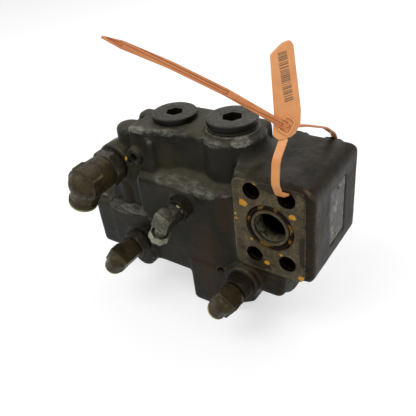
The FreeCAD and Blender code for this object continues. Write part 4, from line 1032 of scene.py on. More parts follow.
@dataclass(frozen=True)
class SealGrimeAndShade:
    """Old face seal under rust and arcs of ochre paint, its near-black tone painted shade in the groove."""

    # Near black: painted shade in the seal groove.
    dark: Colour = paint(7, 5, 4)
    brown: Colour = paint(28, 20, 12)
    ochre: Colour = paint(124, 90, 38)

    def make(self) -> bpy.types.Material:
        """Builds the material.

        Returns:
            The material.
        """
        b = Bench("seal_grime")
        broad = b.noise(9.0, 2.0, 0.4)
        fine = b.noise(1.4, 4.0, 0.65)
        colour = b.ramp(fine, [(0.35, self.dark), (0.65, self.brown)])
        arcs = b.math("MULTIPLY", b.span(broad, 0.52, 0.58), b.span(fine, 0.3, 0.6, 0.45, 1.0))
        colour = b.veil(arcs, 0.7, colour, self.ochre)
        return b.finish(colour, b.span(fine, 0.3, 0.7, 0.5, 0.75), 0.0, b.bump(fine, 0.12), specular=0.08)


@dataclass(frozen=True)
class PlateMetal:
    """Thin metal plate whose coat has worn off in upright streaks."""

    rim: Colour = paint(20, 17, 14)
    dark: Colour = paint(28, 24, 18)
    light: Colour = paint(150, 145, 128)

    def make(self) -> bpy.types.Material:
        """Builds the material.

        Returns:
            The material.
        """
        b = Bench("plate_metal")
        patches = b.noise(6.0, 5.0, 0.7, 0.8)
        scratches = b.noise(2.2, 4.0, 0.6, 0.0, (1.0, 1.9, 0.3))
        bare = b.math("MULTIPLY", b.span(patches, 0.5, 0.64), b.span(scratches, 0.42, 0.6))
        colour = b.mix(bare, self.dark, self.light)
        colour = b.mix(b.span(b.edge(), -0.01, -0.08), colour, self.rim)
        rough = b.span(scratches, 0.3, 0.7, 0.35, 0.55)
        return b.finish(colour, rough, b.math("MULTIPLY", bare, 0.7), b.bump(scratches, 0.12))


@dataclass(frozen=True)
class TagPlastic:
    """Orange moulded plastic, slightly see-through at its thin edges."""

    name: str = "tag_plastic"
    light: Colour = paint(218, 150, 90)
    deep: Colour = paint(200, 128, 68)
    crease_tone: Colour = paint(146, 84, 42)
    glow: float = 0.12
    glow_reach: Point = (0.0012, 0.0006, 0.0003)

    def make(self) -> bpy.types.Material:
        """Builds the material.

        Returns:
            The material.
        """
        b = Bench(self.name)
        haze = b.noise(14.0, 3.0)
        fine = b.noise(0.8, 3.0)
        colour = b.ramp(haze, [(0.3, self.deep), (0.7, self.light)])
        # Darker orange in concave corners and creases.
        corner = b.span(b.edge(), -0.015, -0.12)
        colour = b.veil(corner, 0.8, colour, self.crease_tone)
        b.surface.inputs["Subsurface Weight"].default_value = self.glow
        b.surface.inputs["Subsurface Radius"].default_value = self.glow_reach
        b.surface.inputs["Subsurface Scale"].default_value = 1.0
        return b.finish(colour, b.span(fine, 0.3, 0.7, 0.38, 0.5), 0.0, b.bump(fine, 0.05))


@dataclass(frozen=True)
class TagInk:
    """Faded dark print on the tag."""

    tone: Colour = paint(92, 70, 42)
    faded: Colour = paint(150, 102, 62)

    def make(self) -> bpy.types.Material:
        """Builds the material.

        Returns:
            The material.
        """
        b = Bench("tag_ink")
        fade = b.noise(1.2, 4.0, 0.7)
        colour = b.ramp(fade, [(0.35, self.tone), (0.75, self.faded)])
        return b.finish(colour, b.span(fade, 0.3, 0.7, 0.45, 0.6), 0.0, b.bump(fade, 0.03))


class Finishes:
    """Every material of the valve, made once."""

    def __init__(self, specks: tuple[tuple[float, float, float], ...]) -> None:
        """Builds the materials.

        Args:
            specks: Places and radii of the paint specks on the flange face.
        """
        self.cast = CastPaint().make()
        self.pad = PadMetal(specks=specks).make()
        # Machined bore: bare steel, with painted shade deeper in.
        self.bore = WornSteel("machined_bore", paint(34, 34, 29), paint(46, 46, 40), paint(32, 30, 24),
                              paint(112, 106, 84), metal=0.2, rough=0.35, stain_share=0.0, grain_depth=0.03,
                              waves=0.03, deep=(3.0, 15.0)).make()
        # Hole walls: some rust, with near-black colours and a depth tone that are painted shade.
        self.hole = WornSteel("rusty_hole", paint(9, 7, 6), paint(19, 15, 12), paint(16, 12, 8),
                              paint(50, 42, 32), metal=0.1, rough=0.5, specular=0.04, deep=(0.5, 6.0)).make()
        self.socket = WornSteel("dirty_socket", paint(20, 17, 13), paint(34, 29, 22), paint(18, 14, 10),
                                paint(60, 52, 40), metal=0.1, rough=0.5, specular=0.06).make()
        # Plug steel: its side tone is painted shade on the upright walls.
        self.plug = WornSteel("plug_steel", paint(36, 33, 24), paint(50, 46, 34), paint(32, 26, 18),
                              paint(116, 110, 92), metal=0.1, stain_share=0.3, side=paint(12, 9, 6)).make()
        self.fitting = WornSteel("fitting_steel", paint(40, 35, 24), paint(68, 60, 40), paint(38, 28, 18),
                                 paint(108, 102, 78), metal=0.25, rough=0.4).make()
        self.lip = WornSteel("lip_steel", paint(92, 84, 52), paint(150, 142, 90), paint(66, 56, 34),
                             paint(228, 225, 158), metal=0.4, rough=0.3, stain_share=0.3).make()
        glints = (((-82.0, -34.0, -14.2), 2.6, (0.8, 1.0, 1.6)), ((-71.5, -13.5, 7.0), 2.0, (1.0, 0.8, 1.3)),
                  ((-68.5, -13.0, 3.5), 1.6, (1.3, 0.8, 0.8)))
        self.pale_fitting = WornSteel("pale_fitting_steel", paint(48, 46, 38), paint(92, 90, 78),
                                      paint(40, 35, 26), paint(190, 188, 164), metal=0.75, rough=0.28,
                                      glints=glints).make()
        self.crown = WornSteel("crown_steel", paint(92, 93, 78), paint(140, 141, 122), paint(66, 62, 46),
                               paint(206, 204, 182), rough=0.3, glints=glints).make()
        self.nut = WornSteel("nut_steel", paint(40, 36, 28), paint(78, 71, 61), paint(32, 25, 17),
                             paint(122, 112, 96), metal=0.25, stain_share=0.6).make()
        self.dark_nut = WornSteel("dark_nut_steel", paint(26, 21, 16), paint(48, 41, 32), paint(22, 16, 10),
                                  paint(98, 88, 76), metal=0.25, stain_share=0.6).make()
        self.washer = WornSteel("washer_steel", paint(24, 20, 15), paint(44, 38, 29), paint(20, 15, 10),
                                paint(96, 87, 72), metal=0.25, rough=0.45, stain_share=0.6).make()
        self.ground = GroundSteel("ground_steel", paint(196, 196, 192)).make()
        self.wire = GroundSteel("spring_wire", paint(110, 110, 112), 0.35).make()
        self.screw = WornSteel("screw_steel", paint(40, 38, 36), paint(60, 57, 52), paint(46, 34, 26),
                               paint(110, 106, 96), metal=0.5, rough=0.45).make()
        self.rubber = SealRubber().make()
        self.seal = SealGrimeAndShade().make()
        self.plate = PlateMetal().make()
        self.tag = TagPlastic().make()
        # Strap: a darker copy of the tag plastic, painted shade.
        self.strap = TagPlastic("strap_plastic", paint(208, 132, 76), paint(184, 106, 54),
                                paint(124, 62, 28)).make()
        self.ink = TagInk().make()


# Assemblies


@dataclass
class Assembly:
    """Base of every sub-assembly: what it has made so far."""

    finishes: Finishes
    made: list[bpy.types.Object] = field(default_factory=list, init=False)

    def keep(self, piece: bpy.types.Object, material: bpy.types.Material, slot: str, nodes: Sequence[str],
             body: str = ROOT) -> bpy.types.Object:
        """Dresses a piece, lets it ride on its body and stand for frame nodes.

        Args:
            piece: The finished mesh object.
            material: Its material.
            slot: Not used.
            nodes: Frame nodes that it replaces.
            body: The body that it moves with.

        Returns:
            The piece.
        """
        if not any(piece.data.materials):
            piece.data.materials.clear()
            piece.data.materials.append(material)
        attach(piece, body)
        if nodes:
            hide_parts(*nodes)
        self.made.append(piece)
        return piece

    def dress(self, nodes: Sequence[str], material: bpy.types.Material) -> None:
        """Gives frame nodes that stay as they are a better material.

        Args:
            nodes: Names of the nodes.
            material: Their material.
        """
        for name in nodes:
            node = frame["nodes"][name]
            node.data.materials.clear()
            node.data.materials.append(material)
            self.made.append(node)


@dataclass
class Casting(Assembly):
    """Valve body and end cover as one rough casting, split and machined. Sizes in millimetres.

    Attributes:
        bolt_seat: y of the spot faces behind the flange holes, and their radius.
        hose_seat: y of the spot face round the hose port, and its radius.
        groove: Inner radius, outer radius and depth of the seal groove.
        port_reach: Depth of the bore behind the flange face, and y where the rear bore starts.
        inlet: Passage from the bore to the main stage.
        pad_box: Least and greatest x, then least and greatest z of the machined pad.
        cover_joint: x of the cover's face and of the body's face.
        main, relief: x, poppet bore radius, thread radius and z of the land of each stage.
        spool_axis: y and z of the pilot bore.
        spool: Bore radius, thread radius and x of its right face.
        screw_head: Radius of a cover screw's recess, and of the plug that closes it.
        plate_recess: x of its floor, least and greatest y, least and greatest z.
        port_chamfer: How far a port's seal seat is wider than its thread, and how deep it is.
        ports: x, z, y of the face and thread radius of each fitting's port.
        blank: x, z and radius of the small blind hole in the front wall.
        masses, walls: Cast roundings between the bosses, and the stepped walls at the left.
    """

    voxel: float = 0.9
    rounds: int = 20
    port_r: float = MOUNTS["cylinder_port"]["dims"]["r_mm"]
    bolt_r: float = MOUNTS["cylinder_flange_bolts"]["dims"]["hole_r_mm"]
    bolt_dx: float = MOUNTS["cylinder_flange_bolts"]["dims"]["spacing_x_mm"]
    bolt_dz: float = MOUNTS["cylinder_flange_bolts"]["dims"]["spacing_y_mm"]
    bolt_seat: tuple[float, float] = (80.0, 10.3)
    block_depth: float = 84.0
    hose_seat: tuple[float, float] = (82.5, 21.0)
    hose_thread_r: float = MOUNTS["hose_port"]["dims"]["r_mm"]
    hose_thread_length: float = MOUNTS["hose_port"]["dims"]["length_mm"]
    groove: tuple[float, float, float] = (15.5, 19.5, 3.5)
    port_reach: tuple[float, float] = (36.0, 50.0)
    inlet: Hole = Hole((0, 26, 2), (-40, 26, 2), 8.0)
    pad_cut: float = 0.9
    pad_box: tuple[float, float, float, float] = (-30.0, 27.5, -43.0, 37.0)
    pad_corner: float = 6.0
    pad_depth: float = 3.2
    pad_bevel: float = 0.5
    cover_joint: tuple[float, float] = (-158.8, -158.0)
    cover_thick: float = 20.0
    stage_y: float = 34.5
    thread_length: float = 15.0
    groove_width: float = 2.6
    groove_depth: float = 2.4
    main: tuple[float, float, float, float] = (-47.0, 14.0, 16.5, 58.5)
    relief: tuple[float, float, float, float] = (-101.6, 12.0, 15.0, 56.0)
    stage_bottom: float = -38.0
    spool_axis: tuple[float, float] = (28.0, -55.0)
    spool: tuple[float, float, float] = (8.0, 8.6, 8.5)
    spool_thread_length: float = 16.0
    spool_start: float = -172.0
    spool_groove: tuple[float, float] = (2.2, 2.0)
    screw_head: tuple[float, float] = (5.6, 5.8)
    screw_shank_r: float = 3.4
    screw_reach: float = -140.0
    plate_recess: tuple[float, float, float, float, float] = (32.6, 31.0, 59.0, -28.0, 22.0)
    port_depth: float = 12.0
    port_chamfer: tuple[float, float] = (2.6, 2.2)
    ports: tuple[tuple[float, float, float, float], ...] = (
        (-146.0, 21.0, -1.0, 11.2), (-75.0, 1.5, -4.2, 7.2), (-128.5, -50.5, -6.5, 8.1),
        (-25.5, -60.5, -4.8, 8.1))
    blank: tuple[float, float, float] = (-45.5, -56.5, 3.5)
    masses: tuple[Hole, ...] = (
        Hole((-117.0, 10.0, -24.0), (-117.0, 10.0, 8.0), 12.0),
        Hole((-129.0, 12.0, -24.0), (-129.0, 12.0, 24.0), 11.0),
        Hole((-141.0, 10.0, -24.0), (-141.0, 10.0, 4.0), 11.0),
        Hole((-140.0, 0.0, -26.0), (-140.0, 45.0, -12.0), 8.0),
        Hole((-150.0, 0.0, -26.0), (-150.0, 45.0, -12.0), 8.0),
        Hole((-160.0, 0.0, -26.0), (-160.0, 45.0, -11.0), 8.0),
        Hole((-168.5, 1.0, -23.5), (-168.5, 45.0, -10.0), 8.0))
    walls: tuple[tuple[Point, Point], ...] = (((-127.5, 4.0, 26.0), (-113.0, 34.0, 56.0)),
                                              ((-114.0, 6.5, 26.0), (-106.0, 34.0, 56.0)),
                                              ((-107.0, 8.6, 26.0), (-98.0, 34.0, 56.0)))

    def gauge(self) -> tuple[float, float, float, float]:
        """Measures the small tapped hole.

        Returns:
            x, y of its face, z and radius.
        """
        mount = MOUNTS["gauge_port"]
        x, y, z = (value / MM for value in mount["pos_m"])
        return x, y, z, mount["dims"]["r_mm"]

    def cover_screws(self) -> list[tuple[float, float]]:
        """Places the cover screws by the corners of their node.

        Returns:
            y and z of each screw.
        """
        low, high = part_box("cover_screws")
        head = 5.0
        return [(y, z) for y in (low.y / MM + head, high.y / MM - head)
                for z in (low.z / MM + head, high.z / MM - head)]

    def bolts(self) -> list[tuple[float, float]]:
        """Returns x and z of the four flange holes."""
        return [(sx * self.bolt_dx / 2, sz * self.bolt_dz / 2) for sx in (-1, 1) for sz in (-1, 1)]

    def fillers(self) -> list[Hole]:
        """Plugs every opening, so that the rough casting has no holes.

        Returns:
            The plugs.
        """
        spare = 0.15
        back = self.block_depth
        hose_y, hose_seat_r = self.hose_seat
        bolt_y, bolt_seat_r = self.bolt_seat
        filled = [Hole((0, 0, 0), (0, back, 0), self.hose_thread_r + spare),
                  Hole((0, 0, 0), (0, self.groove[2] + 1, 0), self.groove[1] + spare),
                  Hole((0, hose_y - 1, 0), (0, back, 0), hose_seat_r + spare)]
        for x, z in self.bolts():
            filled.append(Hole((x, 0, z), (x, back, z), self.bolt_r + spare))
            filled.append(Hole((x, bolt_y - 1, z), (x, back, z), bolt_seat_r + spare))
        for x, _, thread_r, land in (self.main, self.relief):
            filled.append(Hole((x, self.stage_y, self.stage_bottom), (x, self.stage_y, land),
                               thread_r + self.groove_width + spare))
        y, z = self.spool_axis
        wider = self.port_chamfer[0]
        filled.append(Hole((self.spool_start + 2, y, z), (self.spool[2], y, z), self.spool[1] + wider))
        for x, z, face, stud in self.ports:
            filled.append(Hole((x, face, z), (x, face + self.port_depth + 6, z), stud + wider + spare))
        x, y, z, radius = self.gauge()
        filled.append(Hole((x, y, z), (x, y + self.port_depth + 1, z), radius + spare))
        x, z, radius = self.blank
        filled.append(Hole((x, -3.0, z), (x, 14.0, z), radius + spare))
        outside = CAD_BOX[0].x / MM
        for y, z in self.cover_screws():
            filled.append(Hole((outside, y, z), (self.screw_reach, y, z), self.screw_head[1]))
        return filled

    def rough(self) -> bpy.types.Object:
        """Makes the rough casting of body and cover together.

        Returns:
            The remeshed casting.
        """
        joined = bmesh.new()
        for node in ("valve_body", "end_cover", "cover_gasket"):
            joined.from_mesh(frame["nodes"][node].data)
        for hole in self.fillers() + list(self.masses):
            Workshop.add_rod(joined, hole, 48)
        for low, high in self.walls:
            wall = Workshop.block("wall", low, high)
            joined.from_mesh(wall.data)
            bpy.data.objects.remove(wall)
        rough = Workshop.from_bmesh("casting", joined)
        return Workshop.remesh(rough, self.voxel, self.rounds, 0.35, 14.0)

    def stage_cut(self, name: str, stage: tuple[float, float, float, float]) -> bpy.types.Object:
        """Makes the cutter of one stage: thread, seal groove and poppet bore.

        Args:
            name: Name of the cutter.
            stage: x, poppet bore radius, thread radius and z of the land.

        Returns:
            The cutter.
        """
        x, bore_r, thread_r, land = stage
        end = land - self.thread_length - 2
        rim = land - self.groove_depth
        wide = thread_r + self.groove_width
        profile = [(0, self.stage_bottom), (bore_r, self.stage_bottom), (bore_r, end), (thread_r, end),
                   (thread_r, rim), (wide, rim), (wide, land + 4), (0, land + 4)]
        return Workshop.turned(name, profile, (x, self.stage_y, 0.0), Along.Z.vector())

    def port_cut(self, name: str, port: tuple[float, float, float, float]) -> bpy.types.Object:
        """Makes the cutter of one fitting's port.

        Args:
            name: Name of the cutter.
            port: x, z, y of the face and thread radius.

        Returns:
            The cutter.
        """
        x, z, face, stud = port
        wide = stud + self.port_chamfer[0]
        deep = self.port_chamfer[1]
        profile = [(0, -4), (wide, -4), (wide, deep), (stud, deep), (stud, self.port_depth + 1),
                   (0, self.port_depth + 1)]
        return Workshop.turned(name, profile, (x, face, z), Along.Y.vector())

    def face_cutter(self) -> bpy.types.Object:
        """Makes the cutter of every feature that opens on the flange block.

        Returns:
            The joined cutter.
        """
        back = self.block_depth + 2
        seat_y, seat_r = self.hose_seat
        front_end, rear_start = self.port_reach
        inner, outer, deep = self.groove
        cutters = [Workshop.rod("cut_port", Hole((0, -6, 0), (0, front_end, 0), self.port_r)),
                   Workshop.rod("cut_rear", Hole((0, rear_start, 0), (0, back, 0), self.port_r)),
                   Workshop.rod("cut_thread", Hole((0, seat_y - self.hose_thread_length, 0), (0, back, 0),
                                                   self.hose_thread_r)),
                   Workshop.rod("cut_seat", Hole((0, seat_y, 0), (0, back, 0), seat_r)),
                   Workshop.rod("cut_inlet", self.inlet),
                   Workshop.turned("cut_groove", [(inner, -6), (outer, -6), (outer, deep), (inner, deep)],
                                   (0, 0, 0), Along.Y.vector())]
        bolt_y, bolt_seat_r = self.bolt_seat
        for i, (x, z) in enumerate(self.bolts()):
            cutters.append(Workshop.rod(f"cut_bolt_{i}", Hole((x, -6, z), (x, back, z), self.bolt_r)))
            cutters.append(Workshop.rod(f"cut_spot_{i}", Hole((x, bolt_y, z), (x, back, z), bolt_seat_r)))
        return Workshop.union(cutters)

    def rest_cutter(self) -> bpy.types.Object:
        """Makes the cutter of the stages, the spool bore, the ports and the small holes.

        Returns:
            The joined cutter.
        """
        y, z = self.spool_axis
        bore_r, thread_r, right = self.spool
        end = right - self.spool_thread_length - 2
        wide = thread_r + self.spool_groove[0]
        rim = right - self.spool_groove[1]
        start = self.spool_start
        profile = [(0, start), (bore_r, start), (bore_r, end), (thread_r, end), (thread_r, rim), (wide, rim),
                   (wide, right + 3), (0, right + 3)]
        cutters = [self.stage_cut("cut_main", self.main), self.stage_cut("cut_relief", self.relief),
                   Workshop.turned("cut_spool", profile, (0, y, z), Along.X.vector())]
        cutters += [self.port_cut(f"cut_port_{i}", port) for i, port in enumerate(self.ports)]
        x, y, z, radius = self.gauge()
        cutters.append(Workshop.rod("cut_gauge", Hole((x, y - 4, z), (x, y + self.port_depth, z), radius)))
        x, z, radius = self.blank
        cutters.append(Workshop.rod("cut_blank", Hole((x, -8, z), (x, 12, z), radius)))
        depth, y0, y1, z0, z1 = self.plate_recess
        cutters.append(Workshop.block("cut_plate", (depth, y0, z0), (depth + 6, y1, z1)))
        return Workshop.union(cutters)

    def rounded_rectangle(self) -> list[Vector]:
        """Draws the flange pad's outline on its front face.

        Returns:
            The points in metres.
        """
        x0, x1, z0, z1 = self.pad_box
        r = self.pad_corner
        corners = ((x1 - r, z1 - r, 0), (x0 + r, z1 - r, 90), (x0 + r, z0 + r, 180), (x1 - r, z0 + r, 270))
        points = []
        for cx, cz, start in corners:
            for i in range(9):
                angle = math.radians(start + 90 * i / 8)
                points.append(Vector((cx + r * math.cos(angle), 0.0, cz + r * math.sin(angle))) * MM)
        return points

    def machined(self) -> list[Hole]:
        """Lists the holes whose walls are bare metal.

        Returns:
            The holes.
        """
        far = self.block_depth + 6
        front_end, rear_start = self.port_reach
        bare = [Hole((0, -6, 0), (0, front_end + 4, 0), self.port_r),
                Hole((0, rear_start, 0), (0, far, 0), self.hose_thread_r),
                Hole((0, self.hose_seat[0], 0), (0, far, 0), self.hose_seat[1])]
        bare += [Hole((x, self.bolt_seat[0], z), (x, far, z), self.bolt_seat[1]) for x, z in self.bolts()]
        bare += [Hole((x, face - 1, z), (x, face + self.port_depth, z), stud + self.port_chamfer[0])
                 for x, z, face, stud in self.ports]
        y = self.stage_y
        for x, _, thread_r, land in (self.main, self.relief):
            bare.append(Hole((x, y, self.stage_bottom), (x, y, land), thread_r + self.groove_width))
        return bare

    def dark_holes(self) -> list[Hole]:
        """Lists the holes whose walls are rusty and near black with painted shade.

        Returns:
            The holes.
        """
        far = self.block_depth + 6
        dark = [Hole((x, 0.1, z), (x, far, z), self.bolt_r) for x, z in self.bolts()]
        x, y, z, radius = self.gauge()
        dark.append(Hole((x, y, z), (x, y + self.port_depth + 1, z), radius))
        return dark

    def build(self) -> None:
        """Builds the body, the flange pad and the end cover."""
        rough = self.rough()
        cover = Workshop.twin(rough)
        cover.name = "dressed_end_cover"
        low = [value / MM - 5 for value in CAD_BOX[0]]
        high = [value / MM + 5 for value in CAD_BOX[1]]
        joint_left, joint_right = self.cover_joint
        left = Workshop.block("half_left", tuple(low), (joint_left, high[1], high[2]))
        Workshop.combine(cover, left, "INTERSECT")
        right = Workshop.block("half_right", (joint_right, low[1], low[2]), tuple(high))
        Workshop.combine(rough, right, "INTERSECT")
        outside, inside = -190.0, -150.0
        for y, z in self.cover_screws():
            head = Hole((outside, y, z), (joint_left - self.cover_thick + 6.0, y, z), self.screw_head[0])
            Workshop.combine(cover, Workshop.rod("cut_head", head))
            shank = Hole((outside, y, z), (inside, y, z), self.screw_shank_r)
            Workshop.combine(cover, Workshop.rod("cut_shank", shank))
        faces = self.face_cutter()
        x0, x1, z0, z1 = self.pad_box
        pad = Workshop.prism("flange_pad", self.rounded_rectangle(), Vector((0, self.pad_depth * MM, 0)))
        Workshop.bevel(pad, self.pad_bevel, 50.0)
        for target in (rough, pad):
            Workshop.combine(target, Workshop.twin(faces))
        bpy.data.objects.remove(faces)
        under_pad = Workshop.block("cut_pad", (x0 - 1, -8, z0 - 1), (x1 + 1, self.pad_cut, z1 + 1))
        Workshop.combine(rough, under_pad)
        Workshop.combine(rough, self.rest_cutter())
        rough.name = "dressed_body"
        for piece, outer, node, slot in ((rough, self.finishes.cast, "valve_body", "cast_body"),
                                         (pad, self.finishes.pad, "valve_body", "cast_body"),
                                         (cover, self.finishes.cast, "end_cover", "cast_body")):
            if piece is pad:
                Workshop.remesh(piece, 0.45, 3)
            Workshop.finish_by_place(piece, ((outer, ()), (self.finishes.bore, self.machined()),
                                             (self.finishes.hole, self.dark_holes())))
            Workshop.shade(piece)
            Workshop.mark_edges(piece, 12)
            self.keep(piece, outer, slot, [node])


@dataclass
class BorePlug(Assembly):
    """Collared plug with a hexagon socket. Sizes in millimetres."""

    node: str = "main_plug"
    axis: Along = Along.Z
    thread_r: float = 16.5
    collar_h: float = 7.5
    foot: Optional[tuple[float, float]] = None
    neck: tuple[float, float] = (18.0, 2.2)
    socket_af: float = 14.0
    socket_depth: float = 9.0
    length: float = 15.0
    edge: float = 1.2

    def profile(self, collar_r: float) -> list[tuple[float, float]]:
        """Draws half the plug's outline, from its shank's end to the middle of its top.

        Args:
            collar_r: Radius of the collar.

        Returns:
            Pairs of radius and height.
        """
        shank = self.thread_r - 0.1
        e = self.edge
        made = [(0, -self.length), (shank - 1.5, -self.length), (shank, 1.5 - self.length), (shank, -0.02)]
        under = 0.0
        if self.foot:
            foot_r, foot_h = self.foot
            neck_r, under = self.neck
            made += [(foot_r - 0.3, 0), (foot_r, 0.3), (foot_r, foot_h - 0.25), (foot_r - 0.25, foot_h),
                     (neck_r, foot_h), (neck_r, under)]
        made += [(collar_r - 0.5, under), (collar_r, under + 0.5), (collar_r, self.collar_h - e)]
        made += [(collar_r - e * (1 - math.cos(a)), self.collar_h - e + e * math.sin(a))
                 for a in (math.radians(22.5 * i) for i in range(1, 5))]
        rim = self.socket_af * 0.5
        dish = self.collar_h - 0.25
        return made + [(rim + 3.6, self.collar_h), (rim + 2.4, dish), (0, dish)]

    def build(self) -> None:
        """Builds the plug on its node's axis."""
        low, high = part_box(self.node)
        middle = (low + high) / (2 * MM)
        along = self.axis.vector()
        top = max(along.dot(low), along.dot(high)) / MM
        collar_r = sorted((high - low) / MM)[1 if self.axis is Along.Z else 2] / 2
        base = middle - along * along.dot(middle) + along * (top - self.collar_h)
        plug = Workshop.turned("dressed_" + self.node, self.profile(collar_r), tuple(base), along)
        corner = self.socket_af / math.sqrt(3)
        side = Along.X.vector() if self.axis is Along.Z else Along.Y.vector()
        other = along.cross(side)
        start = base + along * (self.collar_h - self.socket_depth)
        outline = [(start + side * (corner * math.cos(math.radians(60 * i)))
                    + other * (corner * math.sin(math.radians(60 * i)))) * MM for i in range(6)]
        socket = Workshop.prism("cut_socket", outline, along * (self.socket_depth + 2) * MM)
        Workshop.combine(plug, socket)
        Workshop.remesh(plug, 0.3, 2, 0.1, 5.0)
        Workshop.shade(plug, 50.0)
        Workshop.mark_edges(plug, 8)
        mouth = start + along * (self.socket_depth - 0.9)
        Workshop.finish_by_place(plug, ((self.finishes.plug, ()),
                                        (self.finishes.socket, [Hole(tuple(start), tuple(mouth), corner)])))
        self.keep(plug, self.finishes.plug, "plug_steel", [self.node])


@dataclass
class Fitting(Assembly):
    """Elbow fitting with its lock nut and washer. Sizes in millimetres."""

    key: str = "large"
    mount: str = "tank_outlet"
    bore_r: float = 7.0
    form: Outlet = Outlet.LIPPED
    scallops: int = 8
    scallop_depth: float = 0.8
    shown: float = 4.5
    hidden: float = 2.0
    flare: float = 0.2
    limb_r: float = 9.4
    limb_front_r: float = 9.4
    ball_r: float = 8.4
    front: float = 3.0
    lip: float = 2.6
    voxel: float = 0.45
    rounds: int = 5
    steel: str = "fitting"
    end_steel: str = "lip"
    nut_steel: str = "nut"
    slot: str = "fitting_steel"

    def frame_of_outlet(self) -> tuple[Vector, Vector, float, float]:
        """Reads where the outlet lies from its mount.

        Returns:
            The middle of its wall, its direction, radius and length, in millimetres.
        """
        mount = MOUNTS[self.mount]
        return (Vector(mount["pos_m"]) / MM, Vector(mount["axis"]), mount["dims"]["r_mm"],
                mount["dims"]["length_mm"])

    def outlet_profile(self, radius: float, end: float) -> list[tuple[float, float]]:
        """Draws half the outline of the free end's closed wall.

        Args:
            radius: Largest radius.
            end: Height of the mouth above the hidden start.

        Returns:
            Pairs of radius and height.
        """
        lip = 1.3
        if self.form is Outlet.CROWNED:
            neck = radius * 0.53
            outer = [(neck - 0.5, 0.0), (neck, 0.5), (neck, end - 3.0), (radius - 2.5, end - 3.0),
                     (radius - 2.2, end - 6.6), (radius - 1.8, end - 7.0), (radius - 0.5, end - 7.0),
                     (radius, end - 6.4)]
        else:
            shoulder = end * 0.42
            neck = radius - 1.1
            outer = [(neck - 0.5, 0.0), (neck, 0.5), (neck, shoulder), (radius - 0.3, shoulder + 0.3),
                     (radius, shoulder + 0.8), (radius, end * 0.6), (radius - 0.7, end * 0.64),
                     (radius - 0.7, end * 0.7), (radius, end * 0.76)]
        outer += [(radius - lip * (1 - math.cos(a)), end - lip + lip * math.sin(a))
                  for a in (math.radians(22.5 * i) for i in range(5))]
        return outer + [(self.bore_r + 1.2, end), (self.bore_r, end - 1.5), (self.bore_r, 0.0)]

    def scallop(self, piece: bpy.types.Object, base: Vector, down: Vector, radius: float) -> None:
        """Presses shallow flutes into the outer wall of a turned end.

        Args:
            piece: The turned end.
            base: Middle of its hidden start.
            down: Direction of the outlet.
            radius: Its largest radius.
        """
        side = down.orthogonal().normalized()
        for vert in piece.data.vertices:
            offset = vert.co / MM - base
            height = offset.dot(down)
            radial = offset - down * height
            if radial.length > radius - 1.6:
                turn = math.atan2(radial.dot(down.cross(side)), radial.dot(side))
                press = self.scallop_depth * abs(math.sin(self.scallops * turn / 2)) ** 1.5
                vert.co = (base + down * height + radial * (1 - press / radial.length)) * MM

    def outlet(self) -> bpy.types.Object:
        """Makes the free end with its bore.

        Returns:
            The free end.
        """
        middle, down, radius, length = self.frame_of_outlet()
        end = self.hidden + self.shown
        base = middle + down * (length / 2 - end)
        radius += self.flare
        profile = self.outlet_profile(radius, end)
        piece = Workshop.turned("dressed_" + self.key + "_outlet", profile, tuple(base), down)
        if self.form is Outlet.CROWNED:
            self.scallop(piece, base, down, radius)
        return Workshop.remesh(piece, 0.3, 1)

    def forging(self) -> bpy.types.Object:
        """Makes the rounded forging: stud, limb and the part that carries the outlet.

        Returns:
            The forging.
        """
        middle, down, radius, length = self.frame_of_outlet()
        low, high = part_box(self.key + "_lock_nut")
        port = (low + high) / (2 * MM)
        corner = middle + down * ((port.x - middle.x) / down.x)
        mouth = middle + down * (length / 2)
        start = mouth - down * self.shown
        made = Workshop.copy_nodes("dressed_" + self.key + "_elbow", [self.key + "_elbow"])
        face = corner.y - self.front
        Workshop.combine(made, Workshop.block("cut_front", (port.x - 60, face - 40, port.z - 60),
                                              (port.x + 60, face, port.z + 60)))
        if self.form is Outlet.LIPPED:
            joined = bmesh.new()
            joined.from_mesh(made.data)
            neck = low.y / MM - 0.4
            middle_of_limb = Vector((port.x, (face + neck) / 2, port.z)) * MM
            place = Matrix.Translation(middle_of_limb) @ Matrix.Rotation(-math.pi / 2, 4, "X")
            bmesh.ops.create_cone(joined, cap_ends=True, segments=64, radius1=self.limb_front_r * MM,
                                  radius2=self.limb_r * MM, depth=(neck - face) * MM, matrix=place)
            Workshop.add_ball(joined, corner, self.ball_r)
            Workshop.add_rod(joined, Hole(tuple(corner), tuple(start + down), radius + 0.3))
            joined.to_mesh(made.data)
            joined.free()
        Workshop.remesh(made, self.voxel, self.rounds, 0.25, 7.0)
        for cutter in (Hole(tuple(start), tuple(mouth + down * 6), radius + 3.4),
                       Hole(tuple(corner + down), tuple(mouth), self.bore_r)):
            Workshop.combine(made, Workshop.rod("cut_outlet", cutter))
        return made

    def build(self) -> None:
        """Builds the forging, the outlet, the nut and the washer."""
        elbow, nut, washer = (self.key + end for end in ("_elbow", "_lock_nut", "_washer"))
        middle, down, radius, length = self.frame_of_outlet()
        mouth = middle + down * (length / 2)
        collar = Hole(tuple(mouth - down * 30), tuple(mouth - down * self.lip), radius + 3)
        pieces = [(self.forging(), self.steel, self.slot, elbow, 6),
                  (self.outlet(), self.end_steel, self.slot, elbow, 5)]
        for node, finish, slot in ((nut, self.nut_steel, "nut_steel"), (washer, "washer", "washer_steel")):
            copy = Workshop.remesh(Workshop.copy_nodes("dressed_" + node, [node]), 0.35, 3, 0.12, 4.0)
            pieces.append((copy, finish, slot, node, 5))
        for piece, finish, slot, node, reach in pieces:
            Workshop.shade(piece, 50.0)
            Workshop.mark_edges(piece, reach)
            if finish == "lip":
                Workshop.finish_by_place(piece, ((self.finishes.lip, ()), (self.finishes.fitting, [collar])))
            self.keep(piece, getattr(self.finishes, finish), slot, [node])
        self.dress([self.key + "_port_seal"], self.finishes.rubber)


